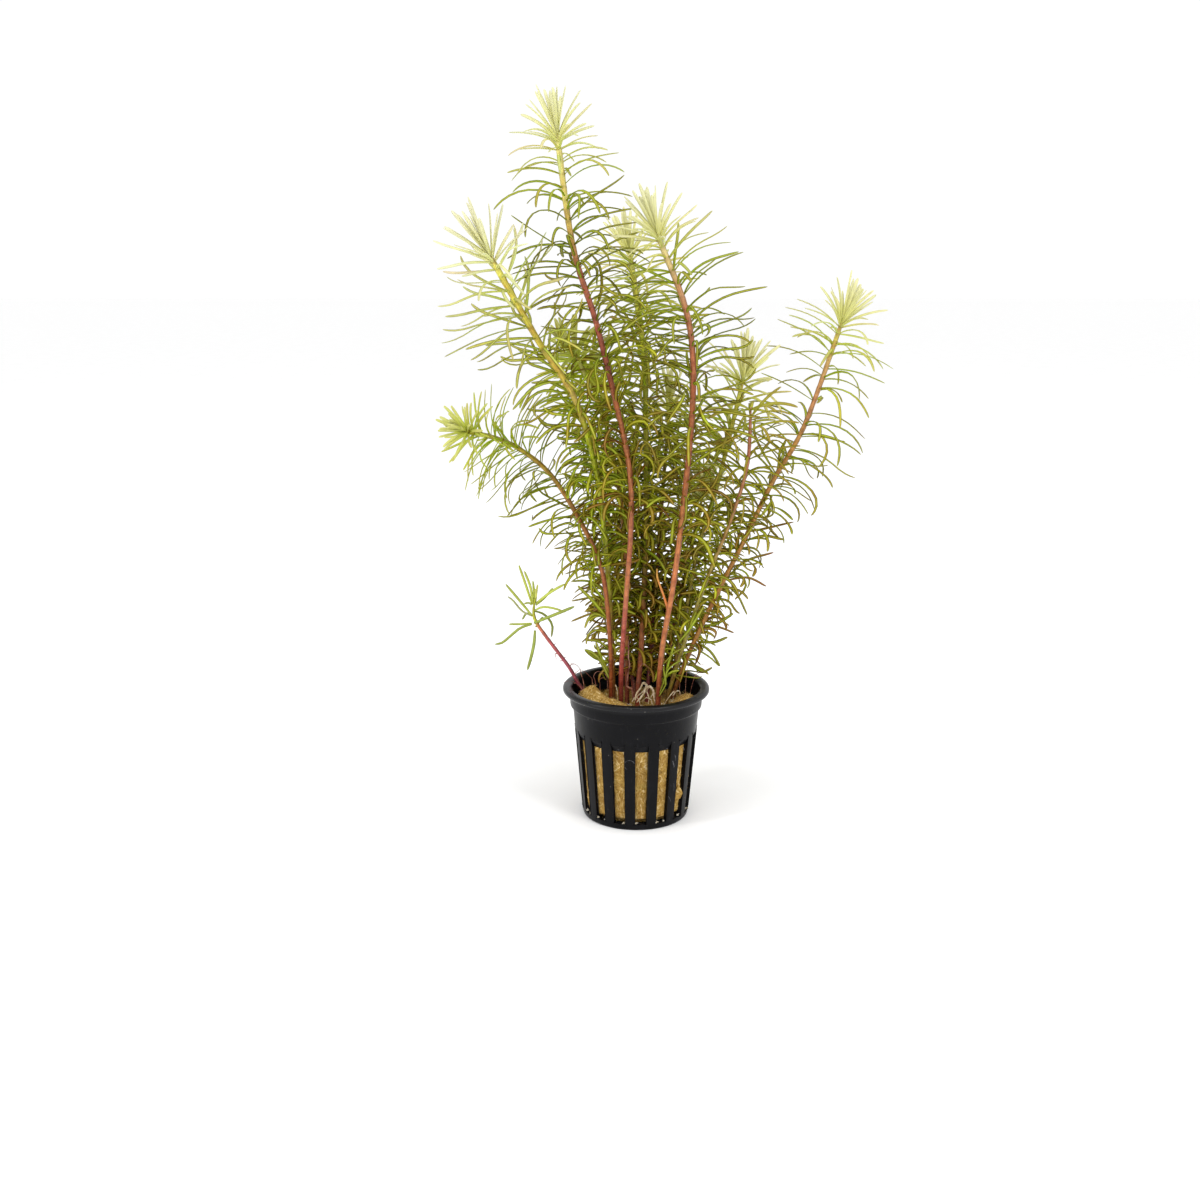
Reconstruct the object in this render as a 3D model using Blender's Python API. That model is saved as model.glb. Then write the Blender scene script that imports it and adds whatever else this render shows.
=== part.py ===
"""A potted bunch of Ludwigia inclinata var. verticillata 'White', an aquarium plant.

A black net pot holds a stone-wool plug, and thirteen leafy stems grow out of the plug. Each stem
is one solid with its leaves: a six-sided tube along a smooth route, with whorls of six leaves
drawn out of its sides. The pot stands on z = 0 with its axis on +Z, and its front faces -Y.
Shapes are worked out in millimetres and written to the meshes in metres.
"""

import itertools
import math
from collections import namedtuple

import bmesh
import bpy
import numpy as np

MM = 0.001
GAP = 0.3

# Net pot
POT_HEIGHT = 49.7
RIM_RADIUS = 27.25
RIM_INNER_RADIUS = 24.6
COLLAR_RADIUS = 24.75
LEDGE_Z = 42.6
BODY_TOP_RADIUS = 23.5
BASE_RADIUS = 19.75
WALL = 1.25
BASE_ROUND = 0.9
LEDGE_SLOPE = 0.6
COLLAR_DRAFT = 0.2
RIM_DEPTH = 2.1
RIM_ROUND = 0.4
POT_SEGMENTS = 48
SLOT_COUNT = 16
SLOT_ARC = math.radians(12.6)
SLOT_BOTTOM = 2.3
SLOT_TOP = 31.3
FIRST_SLOT = math.radians(-86.0)
DRAIN_COUNT = 8
DRAIN_ARC = math.radians(20)
DRAIN_INNER_RADIUS = 7.5
DRAIN_OUTER_RADIUS = 15.5

# Stone-wool plug
WOOL_TOP = 45.0
WOOL_SEGMENTS = 24
WOOL_RINGS = (17.5, 12.5, 7.5, 3.0)
WOOL_EDGE_DROP = 0.6
# Each mound is x, y, rise and spread
WOOL_MOUNDS = ((-15, 3, 1.7, 5.0), (17, -6, 1.3, 4.5), (3, 11, -1.1, 6.0),
               (-3, -15, 0.9, 5.0), (14, 13, 0.8, 5.0), (-10, 15, -0.8, 5.0))

# Leaves, each one pyramid on a side of its stem's tube
TUBE_SIDES = 6
WHORL_TWIST = math.radians(30)
BAND = 1.1
CROWN_WHORLS = (1.4, 3.8, 7.0, 11.0, 16.0)
WHORL_STEP = 10.4
BARE_STEP = 9.0
LEAF_ROOT = 0.8
LEAF_CLEARANCE = 0.4
SAMPLES_PER_MM = 1.4
OWN_STEM_CLEAR = 6.0
SAME_WHORL = 0.5
LEAF_SHARES = (1.0, 0.85, 0.7, 0.5)
LEAF_SWINGS = tuple(math.radians(a) for a in (0, 12, -12))
LEAF_TILTS = tuple(math.radians(a) for a in (0, -12, 12, -24))
LOWEST_LEAF_TIP = 53.0
# Distance below the growing tip, angle of the leaf from the stem in degrees, length
LEAF_HABIT = ((0, 7, 17.5), (3, 24, 18), (6, 46, 18.5), (9, 62, 19.5), (15, 76, 20.5), (30, 84, 21.5),
              (60, 90, 20), (100, 94, 16.5), (150, 96, 14))
# A stem that lost its growing tip
TOPPED_HABIT = ((0, 62, 17), (15, 76, 19), (60, 90, 18), (100, 94, 15))
SHOOT_HABIT = ((0, 10, 13), (4, 34, 14.5), (8, 62, 15.5), (12, 96, 16))

POCKET_DEPTH = 16.0

Stem = namedtuple("Stem", "name route base_radius tip_radius leafless habit leaf_scale colour")

RED = (0.33, 0.10, 0.06)
GREEN = (0.30, 0.36, 0.07)
YELLOW_GREEN = (0.50, 0.52, 0.14)
BRONZE = (0.30, 0.20, 0.07)
PINK = (0.50, 0.16, 0.15)

# Every route starts in the plug and ends at the growing tip. leafless is the bare length of stem.
STEMS = (
    Stem("stem_tallest",
         ((-5.2, 0, 34), (-5.6, -2, 45), (-5.4, -5, 61), (-4.1, -11, 85), (-2.6, -15, 112), (-3.2, -17, 132),
          (-7.5, -17, 153), (-14.5, -15, 181), (-22.5, -12.5, 207), (-27.8, -8, 244)),
         1.15, 0.85, 82, LEAF_HABIT, 0.96, RED),
    Stem("stem_upper_left",
         ((-8.2, 4.5, 34), (-8.5, 4, 46), (-9, 3, 62), (-10, 1, 85), (-12, -3, 108), (-14.8, -8, 131),
          (-21.9, -15, 156), (-34, -20, 176), (-50.2, -23, 205)),
         1.1, 0.85, 30, LEAF_HABIT, 1.1, YELLOW_GREEN),
    Stem("stem_far_left",
         ((-9, -0.5, 34), (-9.3, -1, 45), (-9.7, -3, 67), (-12.7, -5, 94), (-20.5, -4, 112), (-31, 0, 128),
          (-43, 5, 137), (-55.5, 6.5, 141.3), (-60.8, 3, 143), (-63.6, -3.5, 145.2)),
         0.85, 0.65, 60, LEAF_HABIT, 0.92, BRONZE),
    Stem("stem_short_left",
         ((-3.2, 7.5, 34), (-3.2, 9, 45), (-3.6, 13, 79), (-4.6, 14.5, 105), (-8, 15, 130), (-14, 13.5, 153),
          (-23.5, 2, 174.5)),
         0.95, 0.75, 28, LEAF_HABIT, 0.95, GREEN),
    Stem("stem_centre",
         ((0.6, 4.5, 34), (0.9, 6, 45), (2, 9, 60), (3.2, 13.5, 86), (3.8, 18, 115), (3.5, 21, 143),
          (2.5, 24, 170), (-2.9, 26, 206.5)),
         0.95, 0.8, 24, LEAF_HABIT, 0.95, GREEN),
    Stem("stem_upper_right",
         ((7.4, -3.5, 34), (7.9, -6, 45), (9, -10, 66), (12.7, -15, 93), (15.5, -18, 122), (17.5, -19, 146),
          (17.9, -18, 168), (15, -15.5, 187), (4.9, -12, 212)),
         1.3, 0.9, 78, LEAF_HABIT, 1.0, RED),
    Stem("stem_right",
         ((12.2, 11.5, 34), (13.6, 12, 45), (19, 14, 75), (23.4, 13, 100), (30, 12, 124), (38.4, 10, 163.5)),
         0.9, 0.7, 24, LEAF_HABIT, 0.92, GREEN),
    Stem("stem_slim_right",
         ((10.3, -0.5, 34), (11.8, -1, 45), (17.3, -3, 66), (25.4, -5, 92), (32.8, -6, 112), (38.3, -6, 132),
          (39.1, -6, 152.5)),
         0.85, 0.65, 30, TOPPED_HABIT, 0.85, PINK),
    Stem("stem_far_right",
         ((13.2, 7, 34), (14.9, 8, 45), (20.9, 7, 62), (29.4, 6, 82), (38.2, 5, 101), (49, 6, 124.5),
          (60.6, 10, 145), (74.3, 17, 183)),
         0.9, 0.75, 24, LEAF_HABIT, 0.98, BRONZE),
    Stem("side_shoot",
         ((-16.2, 3.6, 35), (-18.2, 3.8, 44), (-21.4, 4, 48.6), (-25.2, 4, 55.6), (-33.4, 4, 67),
          (-37.6, 3, 74.5), (-37.3, 2, 82)),
         0.75, 0.6, 38, SHOOT_HABIT, 1.0, PINK),
    Stem("stem_back_centre",
         ((4.2, 10, 34), (4.9, 13, 45), (7.6, 22, 76), (10.3, 30, 114), (13.2, 38, 151)),
         0.9, 0.65, 24, LEAF_HABIT, 0.9, BRONZE),
    Stem("stem_back_left",
         ((0, 12.5, 34), (-0.6, 15.5, 45), (-4.9, 26, 76), (-12.2, 38, 120)),
         0.95, 0.6, 22, LEAF_HABIT, 0.88, BRONZE),
    Stem("stem_back_right",
         ((9, 14, 34), (10.6, 16.5, 45), (17.4, 26, 76), (26.5, 34, 117)),
         0.95, 0.6, 22, LEAF_HABIT, 0.88, GREEN),
)


def clear_scene():
    for obj in list(bpy.data.objects):
        bpy.data.objects.remove(obj, do_unlink=True)


def material(name, colour, roughness):
    """A Principled material of one colour."""
    mat = bpy.data.materials.new(name)
    mat.use_nodes = True
    shader = mat.node_tree.nodes["Principled BSDF"]
    shader.inputs["Base Color"].default_value = (*colour, 1)
    shader.inputs["Roughness"].default_value = roughness
    shader.inputs["Metallic"].default_value = 0.0
    mat.diffuse_color = (*colour, 1)
    return mat


def add_object(name, points, faces, mat, sharp_angle=math.radians(35)):
    """An object from points in millimetres, with its normals made to face out."""
    mesh = bpy.data.meshes.new(name)
    mesh.from_pydata([tuple(MM * c for c in p) for p in points], [], faces)
    bm = bmesh.new()
    bm.from_mesh(mesh)
    bmesh.ops.recalc_face_normals(bm, faces=bm.faces)
    if bm.calc_volume(signed=True) < 0:
        bmesh.ops.reverse_faces(bm, faces=bm.faces)
    bm.to_mesh(mesh)
    bm.free()
    mesh.shade_smooth()
    mesh.set_sharp_from_angle(angle=sharp_angle)
    obj = bpy.data.objects.new(name, mesh)
    bpy.context.scene.collection.objects.link(obj)
    if mat:
        mesh.materials.append(mat)
    return obj


def cut(obj, cutter):
    """Takes the cutter out of the object, and leaves the cutter out of the model."""
    cutter.hide_render = True
    cutter.display_type = "WIRE"
    modifier = obj.modifiers.new("cut_" + cutter.name, "BOOLEAN")
    modifier.operation = "DIFFERENCE"
    modifier.object = cutter


def turned(profile, segments, height=None):
    """Points and faces of a profile turned about the Z axis. It starts and ends on the axis.
    height(x, y, z) may move the points up or down."""
    points, faces, rings = [], [], []
    for radius, z in profile:
        if radius == 0:
            ring = [len(points)] * segments
            points.append((0, 0, z))
        else:
            ring = list(range(len(points), len(points) + segments))
            for i in range(segments):
                angle = math.tau * i / segments
                points.append((radius * math.cos(angle), radius * math.sin(angle), z))
        rings.append(ring)
    for low, high in zip(rings, rings[1:]):
        for i in range(segments):
            j = (i + 1) % segments
            corners = (low[i], low[j], high[j], high[i])
            faces.append(tuple(dict.fromkeys(corners)))
    if height:
        points = [(x, y, height(x, y, z)) for x, y, z in points]
    return points, faces


def wedges(count, first, arc, inner, outer, bottom, top):
    """A ring of radial blocks about the Z axis, for slots."""
    points, faces = [], []
    for i in range(count):
        middle = first + math.tau * i / count
        start = len(points)
        for z in (bottom, top):
            for radius, side in ((inner, -1), (outer, -1), (outer, 1), (inner, 1)):
                angle = middle + side * arc / 2
                points.append((radius * math.cos(angle), radius * math.sin(angle), z))
        low = [start + k for k in range(4)]
        high = [start + 4 + k for k in range(4)]
        faces += [tuple(reversed(low)), tuple(high)]
        faces += [(low[k], low[(k + 1) % 4], high[(k + 1) % 4], high[k]) for k in range(4)]
    return points, faces


def make_pot():
    inner_body_top = BODY_TOP_RADIUS - WALL
    inner_collar = COLLAR_RADIUS - WALL
    profile = (
        (0, 0),
        (BASE_RADIUS - BASE_ROUND, 0),
        (BASE_RADIUS, BASE_ROUND),
        (BODY_TOP_RADIUS, LEDGE_Z - LEDGE_SLOPE),
        (COLLAR_RADIUS - COLLAR_DRAFT, LEDGE_Z),
        (COLLAR_RADIUS, POT_HEIGHT - RIM_DEPTH),
        (RIM_RADIUS - RIM_ROUND, POT_HEIGHT - RIM_DEPTH + COLLAR_DRAFT),
        (RIM_RADIUS, POT_HEIGHT - RIM_DEPTH / 2),
        (RIM_RADIUS - RIM_ROUND, POT_HEIGHT - RIM_ROUND / 2),
        (RIM_RADIUS - RIM_DEPTH / 2, POT_HEIGHT),
        (RIM_INNER_RADIUS, POT_HEIGHT),
        (inner_collar, POT_HEIGHT - RIM_DEPTH / 2),
        (inner_collar - COLLAR_DRAFT, LEDGE_Z + LEDGE_SLOPE),
        (inner_body_top, LEDGE_Z - LEDGE_SLOPE),
        (BASE_RADIUS - WALL, WALL),
        (0, WALL),
    )
    pot = add_object("net_pot", *turned(profile, POT_SEGMENTS),
                     material("pot_plastic", (0.012, 0.012, 0.014), 0.38))
    slots = add_object("slot_cutter", *wedges(SLOT_COUNT, FIRST_SLOT, SLOT_ARC, BASE_RADIUS / 2,
                                              RIM_RADIUS, SLOT_BOTTOM, SLOT_TOP), None)
    drains = add_object("drain_cutter", *wedges(DRAIN_COUNT, FIRST_SLOT, DRAIN_ARC, DRAIN_INNER_RADIUS,
                                                DRAIN_OUTER_RADIUS, -WALL, 2 * WALL), None)
    cut(pot, slots)
    cut(pot, drains)


def wool_height(x, y, z):
    """The plug's lumpy top. Lower points stay where they are."""
    if z < WOOL_TOP - WOOL_EDGE_DROP:
        return z
    return z + sum(rise * math.exp(-((x - mx) ** 2 + (y - my) ** 2) / (2 * spread ** 2))
                   for mx, my, rise, spread in WOOL_MOUNDS)


def make_plug():
    to_pot = WALL + GAP
    top_radius = COLLAR_RADIUS - COLLAR_DRAFT - to_pot
    profile = [
        (0, to_pot),
        (BASE_RADIUS - to_pot - GAP / 3, to_pot),
        (BODY_TOP_RADIUS - to_pot, LEDGE_Z - LEDGE_SLOPE),
        (top_radius, LEDGE_Z + LEDGE_SLOPE + GAP),
        (top_radius, WOOL_TOP - WOOL_EDGE_DROP),
        (top_radius - 2 * WOOL_EDGE_DROP, WOOL_TOP - WOOL_EDGE_DROP / 2),
    ]
    profile += [(radius, WOOL_TOP) for radius in WOOL_RINGS] + [(0, WOOL_TOP)]
    return add_object("stone_wool_plug", *turned(profile, WOOL_SEGMENTS, wool_height),
                      material("stone_wool", (0.42, 0.30, 0.12), 0.95))


def smooth_line(route, step=1.0):
    """Points about every step along a Catmull-Rom curve through the route."""
    p = np.array(route, float)
    p = np.vstack([2 * p[0] - p[1], p, 2 * p[-1] - p[-2]])
    fine = []
    for a, b, c, d in zip(p, p[1:], p[2:], p[3:]):
        for t in np.linspace(0, 1, 40, endpoint=False):
            fine.append(0.5 * (2 * b + (c - a) * t + (2 * a - 5 * b + 4 * c - d) * t ** 2
                               + (3 * b - a - 3 * c + d) * t ** 3))
    fine = np.array(fine + [p[-2]])
    along = np.concatenate([[0], np.cumsum(np.linalg.norm(np.diff(fine, axis=0), axis=1))])
    stations = np.linspace(0, along[-1], max(2, round(along[-1] / step) + 1))
    return np.stack([np.interp(stations, along, fine[:, k]) for k in range(3)], axis=1), stations


class Axis:
    """A stem's centre line, with a side direction that turns with it and never flips."""

    def __init__(self, route):
        self.points, self.stations = smooth_line(route)
        self.length = self.stations[-1]
        steps = np.gradient(self.points, axis=0)
        self.tangents = steps / np.linalg.norm(steps, axis=1)[:, None]
        side = np.array([1.0, 0, 0])
        sides = []
        for tangent in self.tangents:
            side = side - tangent * (side @ tangent)
            side /= np.linalg.norm(side)
            sides.append(side)
        self.sides = np.array(sides)

    def at(self, s):
        """Point, tangent, side and third direction at a distance along the stem. It may lie before 0."""
        pick = [np.array([np.interp(s, self.stations, table[:, k]) for k in range(3)])
                for table in (self.points, self.tangents, self.sides)]
        point, tangent, side = pick
        tangent /= np.linalg.norm(tangent)
        if s < 0:
            point = point + s * tangent
        side = side - tangent * (side @ tangent)
        side /= np.linalg.norm(side)
        return point, tangent, side, np.cross(tangent, side)

    def ring(self, s, radius, twist):
        point, _, side, other = self.at(s)
        angles = twist + math.tau * np.arange(TUBE_SIDES) / TUBE_SIDES
        return [point + radius * (math.cos(a) * side + math.sin(a) * other) for a in angles]


class Taken:
    """The space that stems and leaves already take, as line segments. A leaf is thick at its root only."""

    def __init__(self):
        self.starts, self.ends, self.roots, self.tips, self.tags = [], [], [], [], []

    def add(self, start, end, root, tip, tag):
        """root and tip are the half thicknesses at the segment's two ends."""
        self.starts.append(start)
        self.ends.append(end)
        self.roots.append(root)
        self.tips.append(tip)
        self.tags.append(tag)

    def is_free(self, start, end, ignore):
        """Whether a leaf from start to end keeps clear of all segments whose tag ignore(tag) isn't true for."""
        keep = [i for i, tag in enumerate(self.tags) if not ignore(tag)]
        a = np.array(self.starts)[keep]
        ab = np.array(self.ends)[keep] - a
        root, tip = np.array(self.roots)[keep], np.array(self.tips)[keep]
        length = np.linalg.norm(end - start)
        share = np.linspace(0.05, 1, round(SAMPLES_PER_MM * length))
        samples = start + share[:, None] * (end - start)
        offset = samples[:, None, :] - a[None]
        t = np.clip((offset * ab).sum(2) / (ab * ab).sum(1), 0, 1)
        distance = np.linalg.norm(offset - t[..., None] * ab[None], axis=2)
        needed = LEAF_CLEARANCE + LEAF_ROOT * (1 - share)[:, None] + root + (tip - root) * t
        return bool((distance > needed).all())


def above_pot(start, end):
    """Whether a leaf stays out of the pot's mouth, its rim and the space beside the pot."""
    return end[2] > LOWEST_LEAF_TIP and start[2] > WOOL_TOP + 2.5


def whorl_places(stem, axis):
    """Distances of the whorls along the stem, from the lowest to the crown."""
    below_tip = list(CROWN_WHORLS)
    while axis.length - below_tip[-1] - WHORL_STEP > stem.leafless:
        below_tip.append(below_tip[-1] + WHORL_STEP)
    return sorted(axis.length - d for d in below_tip if axis.length - d > stem.leafless)


def leaf_tip(stem, axis, s, twist, side_index, share, swing, tilt):
    """Root and tip of the leaf on one side of the tube."""
    point, tangent, side, other = axis.at(s)
    below, angles, lengths = zip(*stem.habit)
    angle = math.radians(np.interp(axis.length - s, below, angles)) + tilt
    length = np.interp(axis.length - s, below, lengths) * stem.leaf_scale * share
    around = twist + math.tau * (side_index + 0.5) / TUBE_SIDES
    out = math.cos(around) * side + math.sin(around) * other
    root = point + radius_at(stem, axis, s) * math.cos(math.pi / TUBE_SIDES) * out
    around += swing
    out = math.cos(around) * side + math.sin(around) * other
    return root, root + length * (math.cos(angle) * tangent + math.sin(angle) * out)


def radius_at(stem, axis, s):
    return stem.base_radius + (stem.tip_radius - stem.base_radius) * max(0, s) / axis.length


def place_leaves(stem, axis, taken):
    """Picks each leaf's tip, shorter or turned a little where something is in the way, or none at all."""
    tips = {}
    for number, s in enumerate(whorl_places(stem, axis)):
        twist = number * WHORL_TWIST

        def ignore(tag, s=s):
            kind, name, place = tag
            reach = OWN_STEM_CLEAR if kind == "tube" else SAME_WHORL
            return name == stem.name and abs(place - s) < reach

        for k in range(TUBE_SIDES):
            for option in itertools.product(LEAF_SHARES, LEAF_TILTS, LEAF_SWINGS):
                share, tilt, swing = option
                root, tip = leaf_tip(stem, axis, s, twist, k, share, swing, tilt)
                if above_pot(root, tip) and taken.is_free(root, tip, ignore):
                    tips[number, k] = tip
                    taken.add(root, tip, LEAF_ROOT, 0, ("leaf", stem.name, s))
                    break
    return tips


def stem_shell(stem, axis, tips):
    """The tube from the plug to the growing tip, with each leaf drawn out of a side of its whorl's band."""
    whorls = whorl_places(stem, axis)
    stations = [(s, 0.0, None) for s in np.arange(0, whorls[0] - BARE_STEP / 2, BARE_STEP)]
    for number, s in enumerate(whorls):
        twist = number * WHORL_TWIST
        stations += [(s - BAND / 2, twist, None), (s + BAND / 2, twist, number)]
    points, faces, before = [], [], None
    for s, twist, number in stations:
        ring = list(range(len(points), len(points) + TUBE_SIDES))
        points += axis.ring(s, radius_at(stem, axis, s), twist)
        if before is None:
            faces.append(tuple(reversed(ring)))
        else:
            for k in range(TUBE_SIDES):
                corners = (before[k], before[(k + 1) % TUBE_SIDES], ring[(k + 1) % TUBE_SIDES], ring[k])
                if number is not None and (number, k) in tips:
                    points.append(tips[number, k])
                    tip = len(points) - 1
                    faces += [(corners[i], corners[(i + 1) % 4], tip) for i in range(4)]
                else:
                    faces.append(corners)
        before = ring
    points.append(axis.at(axis.length)[0])
    apex = len(points) - 1
    faces += [(before[k], before[(k + 1) % TUBE_SIDES], apex) for k in range(TUBE_SIDES)]
    return points, faces


def pocket_shell(stem, axis):
    """The pocket in the plug that a stem's lower end stands in, a gap wider than the stem."""
    points, faces = [], []
    stations = np.linspace(-GAP, POCKET_DEPTH, 5)
    for i, s in enumerate(stations):
        points += axis.ring(s, radius_at(stem, axis, s) + GAP / math.cos(math.pi / TUBE_SIDES), 0.0)
        low, high = (i - 1) * TUBE_SIDES, i * TUBE_SIDES
        if i:
            faces += [(low + k, low + (k + 1) % TUBE_SIDES, high + (k + 1) % TUBE_SIDES, high + k)
                      for k in range(TUBE_SIDES)]
    last = len(points) - TUBE_SIDES
    faces += [tuple(reversed(range(TUBE_SIDES))), tuple(range(last, last + TUBE_SIDES))]
    return points, faces


def make_stems(plug):
    axes = {stem.name: Axis(stem.route) for stem in STEMS}
    taken = Taken()
    for stem in STEMS:
        axis = axes[stem.name]
        for i in range(0, len(axis.points) - 4, 4):
            j = min(i + 4, len(axis.points) - 1)
            radius = radius_at(stem, axis, axis.stations[i])
            taken.add(axis.points[i], axis.points[j], radius, radius, ("tube", stem.name, axis.stations[i]))
    for stem in STEMS:
        axis = axes[stem.name]
        tips = place_leaves(stem, axis, taken)
        add_object(stem.name, *stem_shell(stem, axis, tips),
                   material(stem.name + "_tissue", stem.colour, 0.5))
        pocket = add_object(stem.name + "_pocket", *pocket_shell(stem, axis), None)
        cut(plug, pocket)


def main():
    clear_scene()
    make_pot()
    make_stems(make_plug())


main()
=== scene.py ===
import math
from collections import namedtuple

import bpy
import numpy as np
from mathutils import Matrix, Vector, kdtree, noise


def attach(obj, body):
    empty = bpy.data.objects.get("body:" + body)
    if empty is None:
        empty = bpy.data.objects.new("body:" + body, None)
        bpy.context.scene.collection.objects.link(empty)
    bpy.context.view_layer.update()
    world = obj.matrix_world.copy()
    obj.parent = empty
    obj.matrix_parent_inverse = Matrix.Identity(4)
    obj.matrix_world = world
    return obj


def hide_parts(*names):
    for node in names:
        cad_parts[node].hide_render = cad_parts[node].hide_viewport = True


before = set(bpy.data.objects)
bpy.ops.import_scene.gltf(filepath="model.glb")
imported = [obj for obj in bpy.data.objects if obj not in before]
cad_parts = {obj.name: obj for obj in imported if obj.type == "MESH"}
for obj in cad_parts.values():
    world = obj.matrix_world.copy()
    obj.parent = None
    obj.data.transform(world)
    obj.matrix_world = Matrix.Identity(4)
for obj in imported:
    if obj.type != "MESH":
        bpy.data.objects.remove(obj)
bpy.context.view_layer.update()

# Lengths are in millimetres until a mesh is made
MM = 0.001

# Net pot
POT_HEIGHT = 49.7
RIM_RADIUS = 27.25
RIM_INNER_RADIUS = 24.6
COLLAR_RADIUS = 24.75
LEDGE_Z = 42.6
BODY_TOP_RADIUS = 23.5
BASE_RADIUS = 19.75
WALL = 1.25
SLOT_COUNT = 16
SLOT_ARC = math.radians(12.6)
SLOT_PERIOD = math.tau / SLOT_COUNT
SLOT_BOTTOM = 2.3
SLOT_TOP = 31.3
FIRST_SLOT = math.radians(-86.0)
DRAIN_COUNT = 8
DRAIN_ARC = math.radians(20)
DRAIN_INNER_RADIUS = 7.5
DRAIN_OUTER_RADIUS = 15.5

# Camera: its aim, its angle above level, its distance, its lens and, rounded, its place
CAMERA_TARGET = Vector((-13.39, 0, 81.95))
CAMERA_ELEVATION = math.radians(14)
CAMERA_DISTANCE = 480.0
CAMERA_LENS = 39.45
FRONT_EYE = np.array([-13.4, -465.7, 198.1])

# Whorls: distance of the crown's whorls below the growing tip and leaves in each, then even steps
CROWN_WHORLS = ((0.3, 3), (0.9, 3), (1.5, 4), (2.2, 5), (3.1, 5), (4.3, 6), (6.8, 6), (10.6, 7), (14.8, 7))
# The crown of the stem that curves out to the left is small, fine and full
SMALL_WHORLS = ((0.3, 4), (0.8, 5), (1.4, 5), (2.1, 6), (3.0, 7), (4.2, 8), (6.2, 9), (8.8, 9), (11.6, 9),
                (14.4, 9))
# One that opens wide towards the front
OPEN_WHORLS = ((1.5, 4), (2.2, 5), (3, 6), (4.2, 7), (6, 8), (8.4, 8), (11.4, 9), (14.8, 9))
# A stem that lost its growing tip starts with ordinary whorls
TOPPED_WHORLS = ((0.8, 5), (3.4, 6))
# Leaves keep off other stems by this much. Over the wool and the rim they stay above these heights
STEM_GAP = 0.75
WOOL_REACH = 22.4
OVER_WOOL = 46.8
OVER_RIM = POT_HEIGHT + 1.2
# A leaf in the way is turned aside so often, then shortened until it has had so many tries
TURNS = 5
TRIES = 8
# Share of a leaf's length at each of its cross sections, and share of its width there
LEAF_STATIONS = np.array([0, 0.05, 0.12, 0.22, 0.34, 0.47, 0.6, 0.73, 0.84, 0.92, 0.97, 1])
LEAF_WIDTHS = np.array([0.7, 0.74, 0.84, 0.95, 1, 1, 1, 0.99, 0.94, 0.82, 0.62, 0.26])
# Across the leaf and up from it, in leaf widths: a shallow groove above and a keel below
LEAF_SECTION = np.array([(-0.5, 0.04), (0, -0.05), (0.5, 0.04), (0.36, -0.17), (0, -0.32), (-0.36, -0.17)])
# Distance below the tip, angle from the stem at the leaf's root and at its tip in degrees, length
HABIT = ((0, 2, 5, 11), (0.8, 7, 12, 13.8), (1.4, 15, 22, 15.4), (2.1, 27, 38, 16), (3, 42, 62, 16.4),
         (4.2, 58, 88, 16.2), (6.8, 63, 102, 17.5), (10.6, 64, 108, 19.5), (14.8, 64, 112, 21.5),
         (25, 63, 114, 23.5), (40, 63, 118, 24), (70, 60, 122, 22), (100, 57, 126, 18.5),
         (150, 54, 128, 15.5))

# Share of the old leaves that are brown, and of the bent or low ones that are pale
BROWN_LEAVES = 0.13
PALE_LEAVES = 0.36
# Colours as seen, root and tip of a leaf by distance below the growing tip
LEAF_TONES = {
    "red": ((0, "eceab2", "ecebc8"), (3, "eae9a8", "ecebc2"), (7, "dadc80", "e0deac"),
            (12, "c4cc44", "cccc78"), (20, "a8b822", "a8ac3e"), (35, "9aae18", "969a26"),
            (60, "a4b41c", "a09c26"), (100, "a8ac14", "a48a28"), (160, "a0980c", "a4741c")),
    "yellow": ((0, "eeecba", "efedd0"), (5, "eae9b0", "eceac8"), (12, "d2d878", "dcdaa4"),
               (30, "bcc644", "c4c26c"), (60, "b8ce1e", "bcc03a"), (90, "aecc10", "b0ba26"),
               (120, "a6bc0c", "a8a81a"), (150, "a4a810", "a6881c")),
    "green": ((0, "eeecae", "efedc8"), (4, "e8e898", "eae8b6"), (10, "ced65a", "d6d486"),
              (22, "b8c626", "bab648"), (55, "bacc1c", "b4b42e"), (110, "b0ba18", "b09624"),
              (160, "a89a08", "b0781c")),
    "fresh": ((0, "e6e88c", "eaeaa8"), (4, "d8e062", "dede8a"), (10, "c8d434", "ccce56"),
              (30, "b8cc1c", "b6b82e"), (70, "b0c414", "acaa1e"), (130, "a4a412", "ac841c")),
    "bronze": ((0, "f0eea6", "f2f0d0"), (6, "d0d44a", "d4d078"), (18, "b0b824", "a8a238"),
               (50, "b0ac3c", "ae9440"), (110, "b09e30", "b08430")),
    "dark": ((0, "c4c44a", "b0a044"), (20, "acb024", "a0882c"), (60, "a6b01c", "9a8824"),
             (120, "a0960f", "aa7418")),
}

# Colours of a stem's skin are by distance below its tip. Those at the back have the same
BACK_BARK = ((0, "b4b43a"), (20, "94862a"), (45, "9a6430"), (80, "984c38"), (120, "9a4040"))

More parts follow.
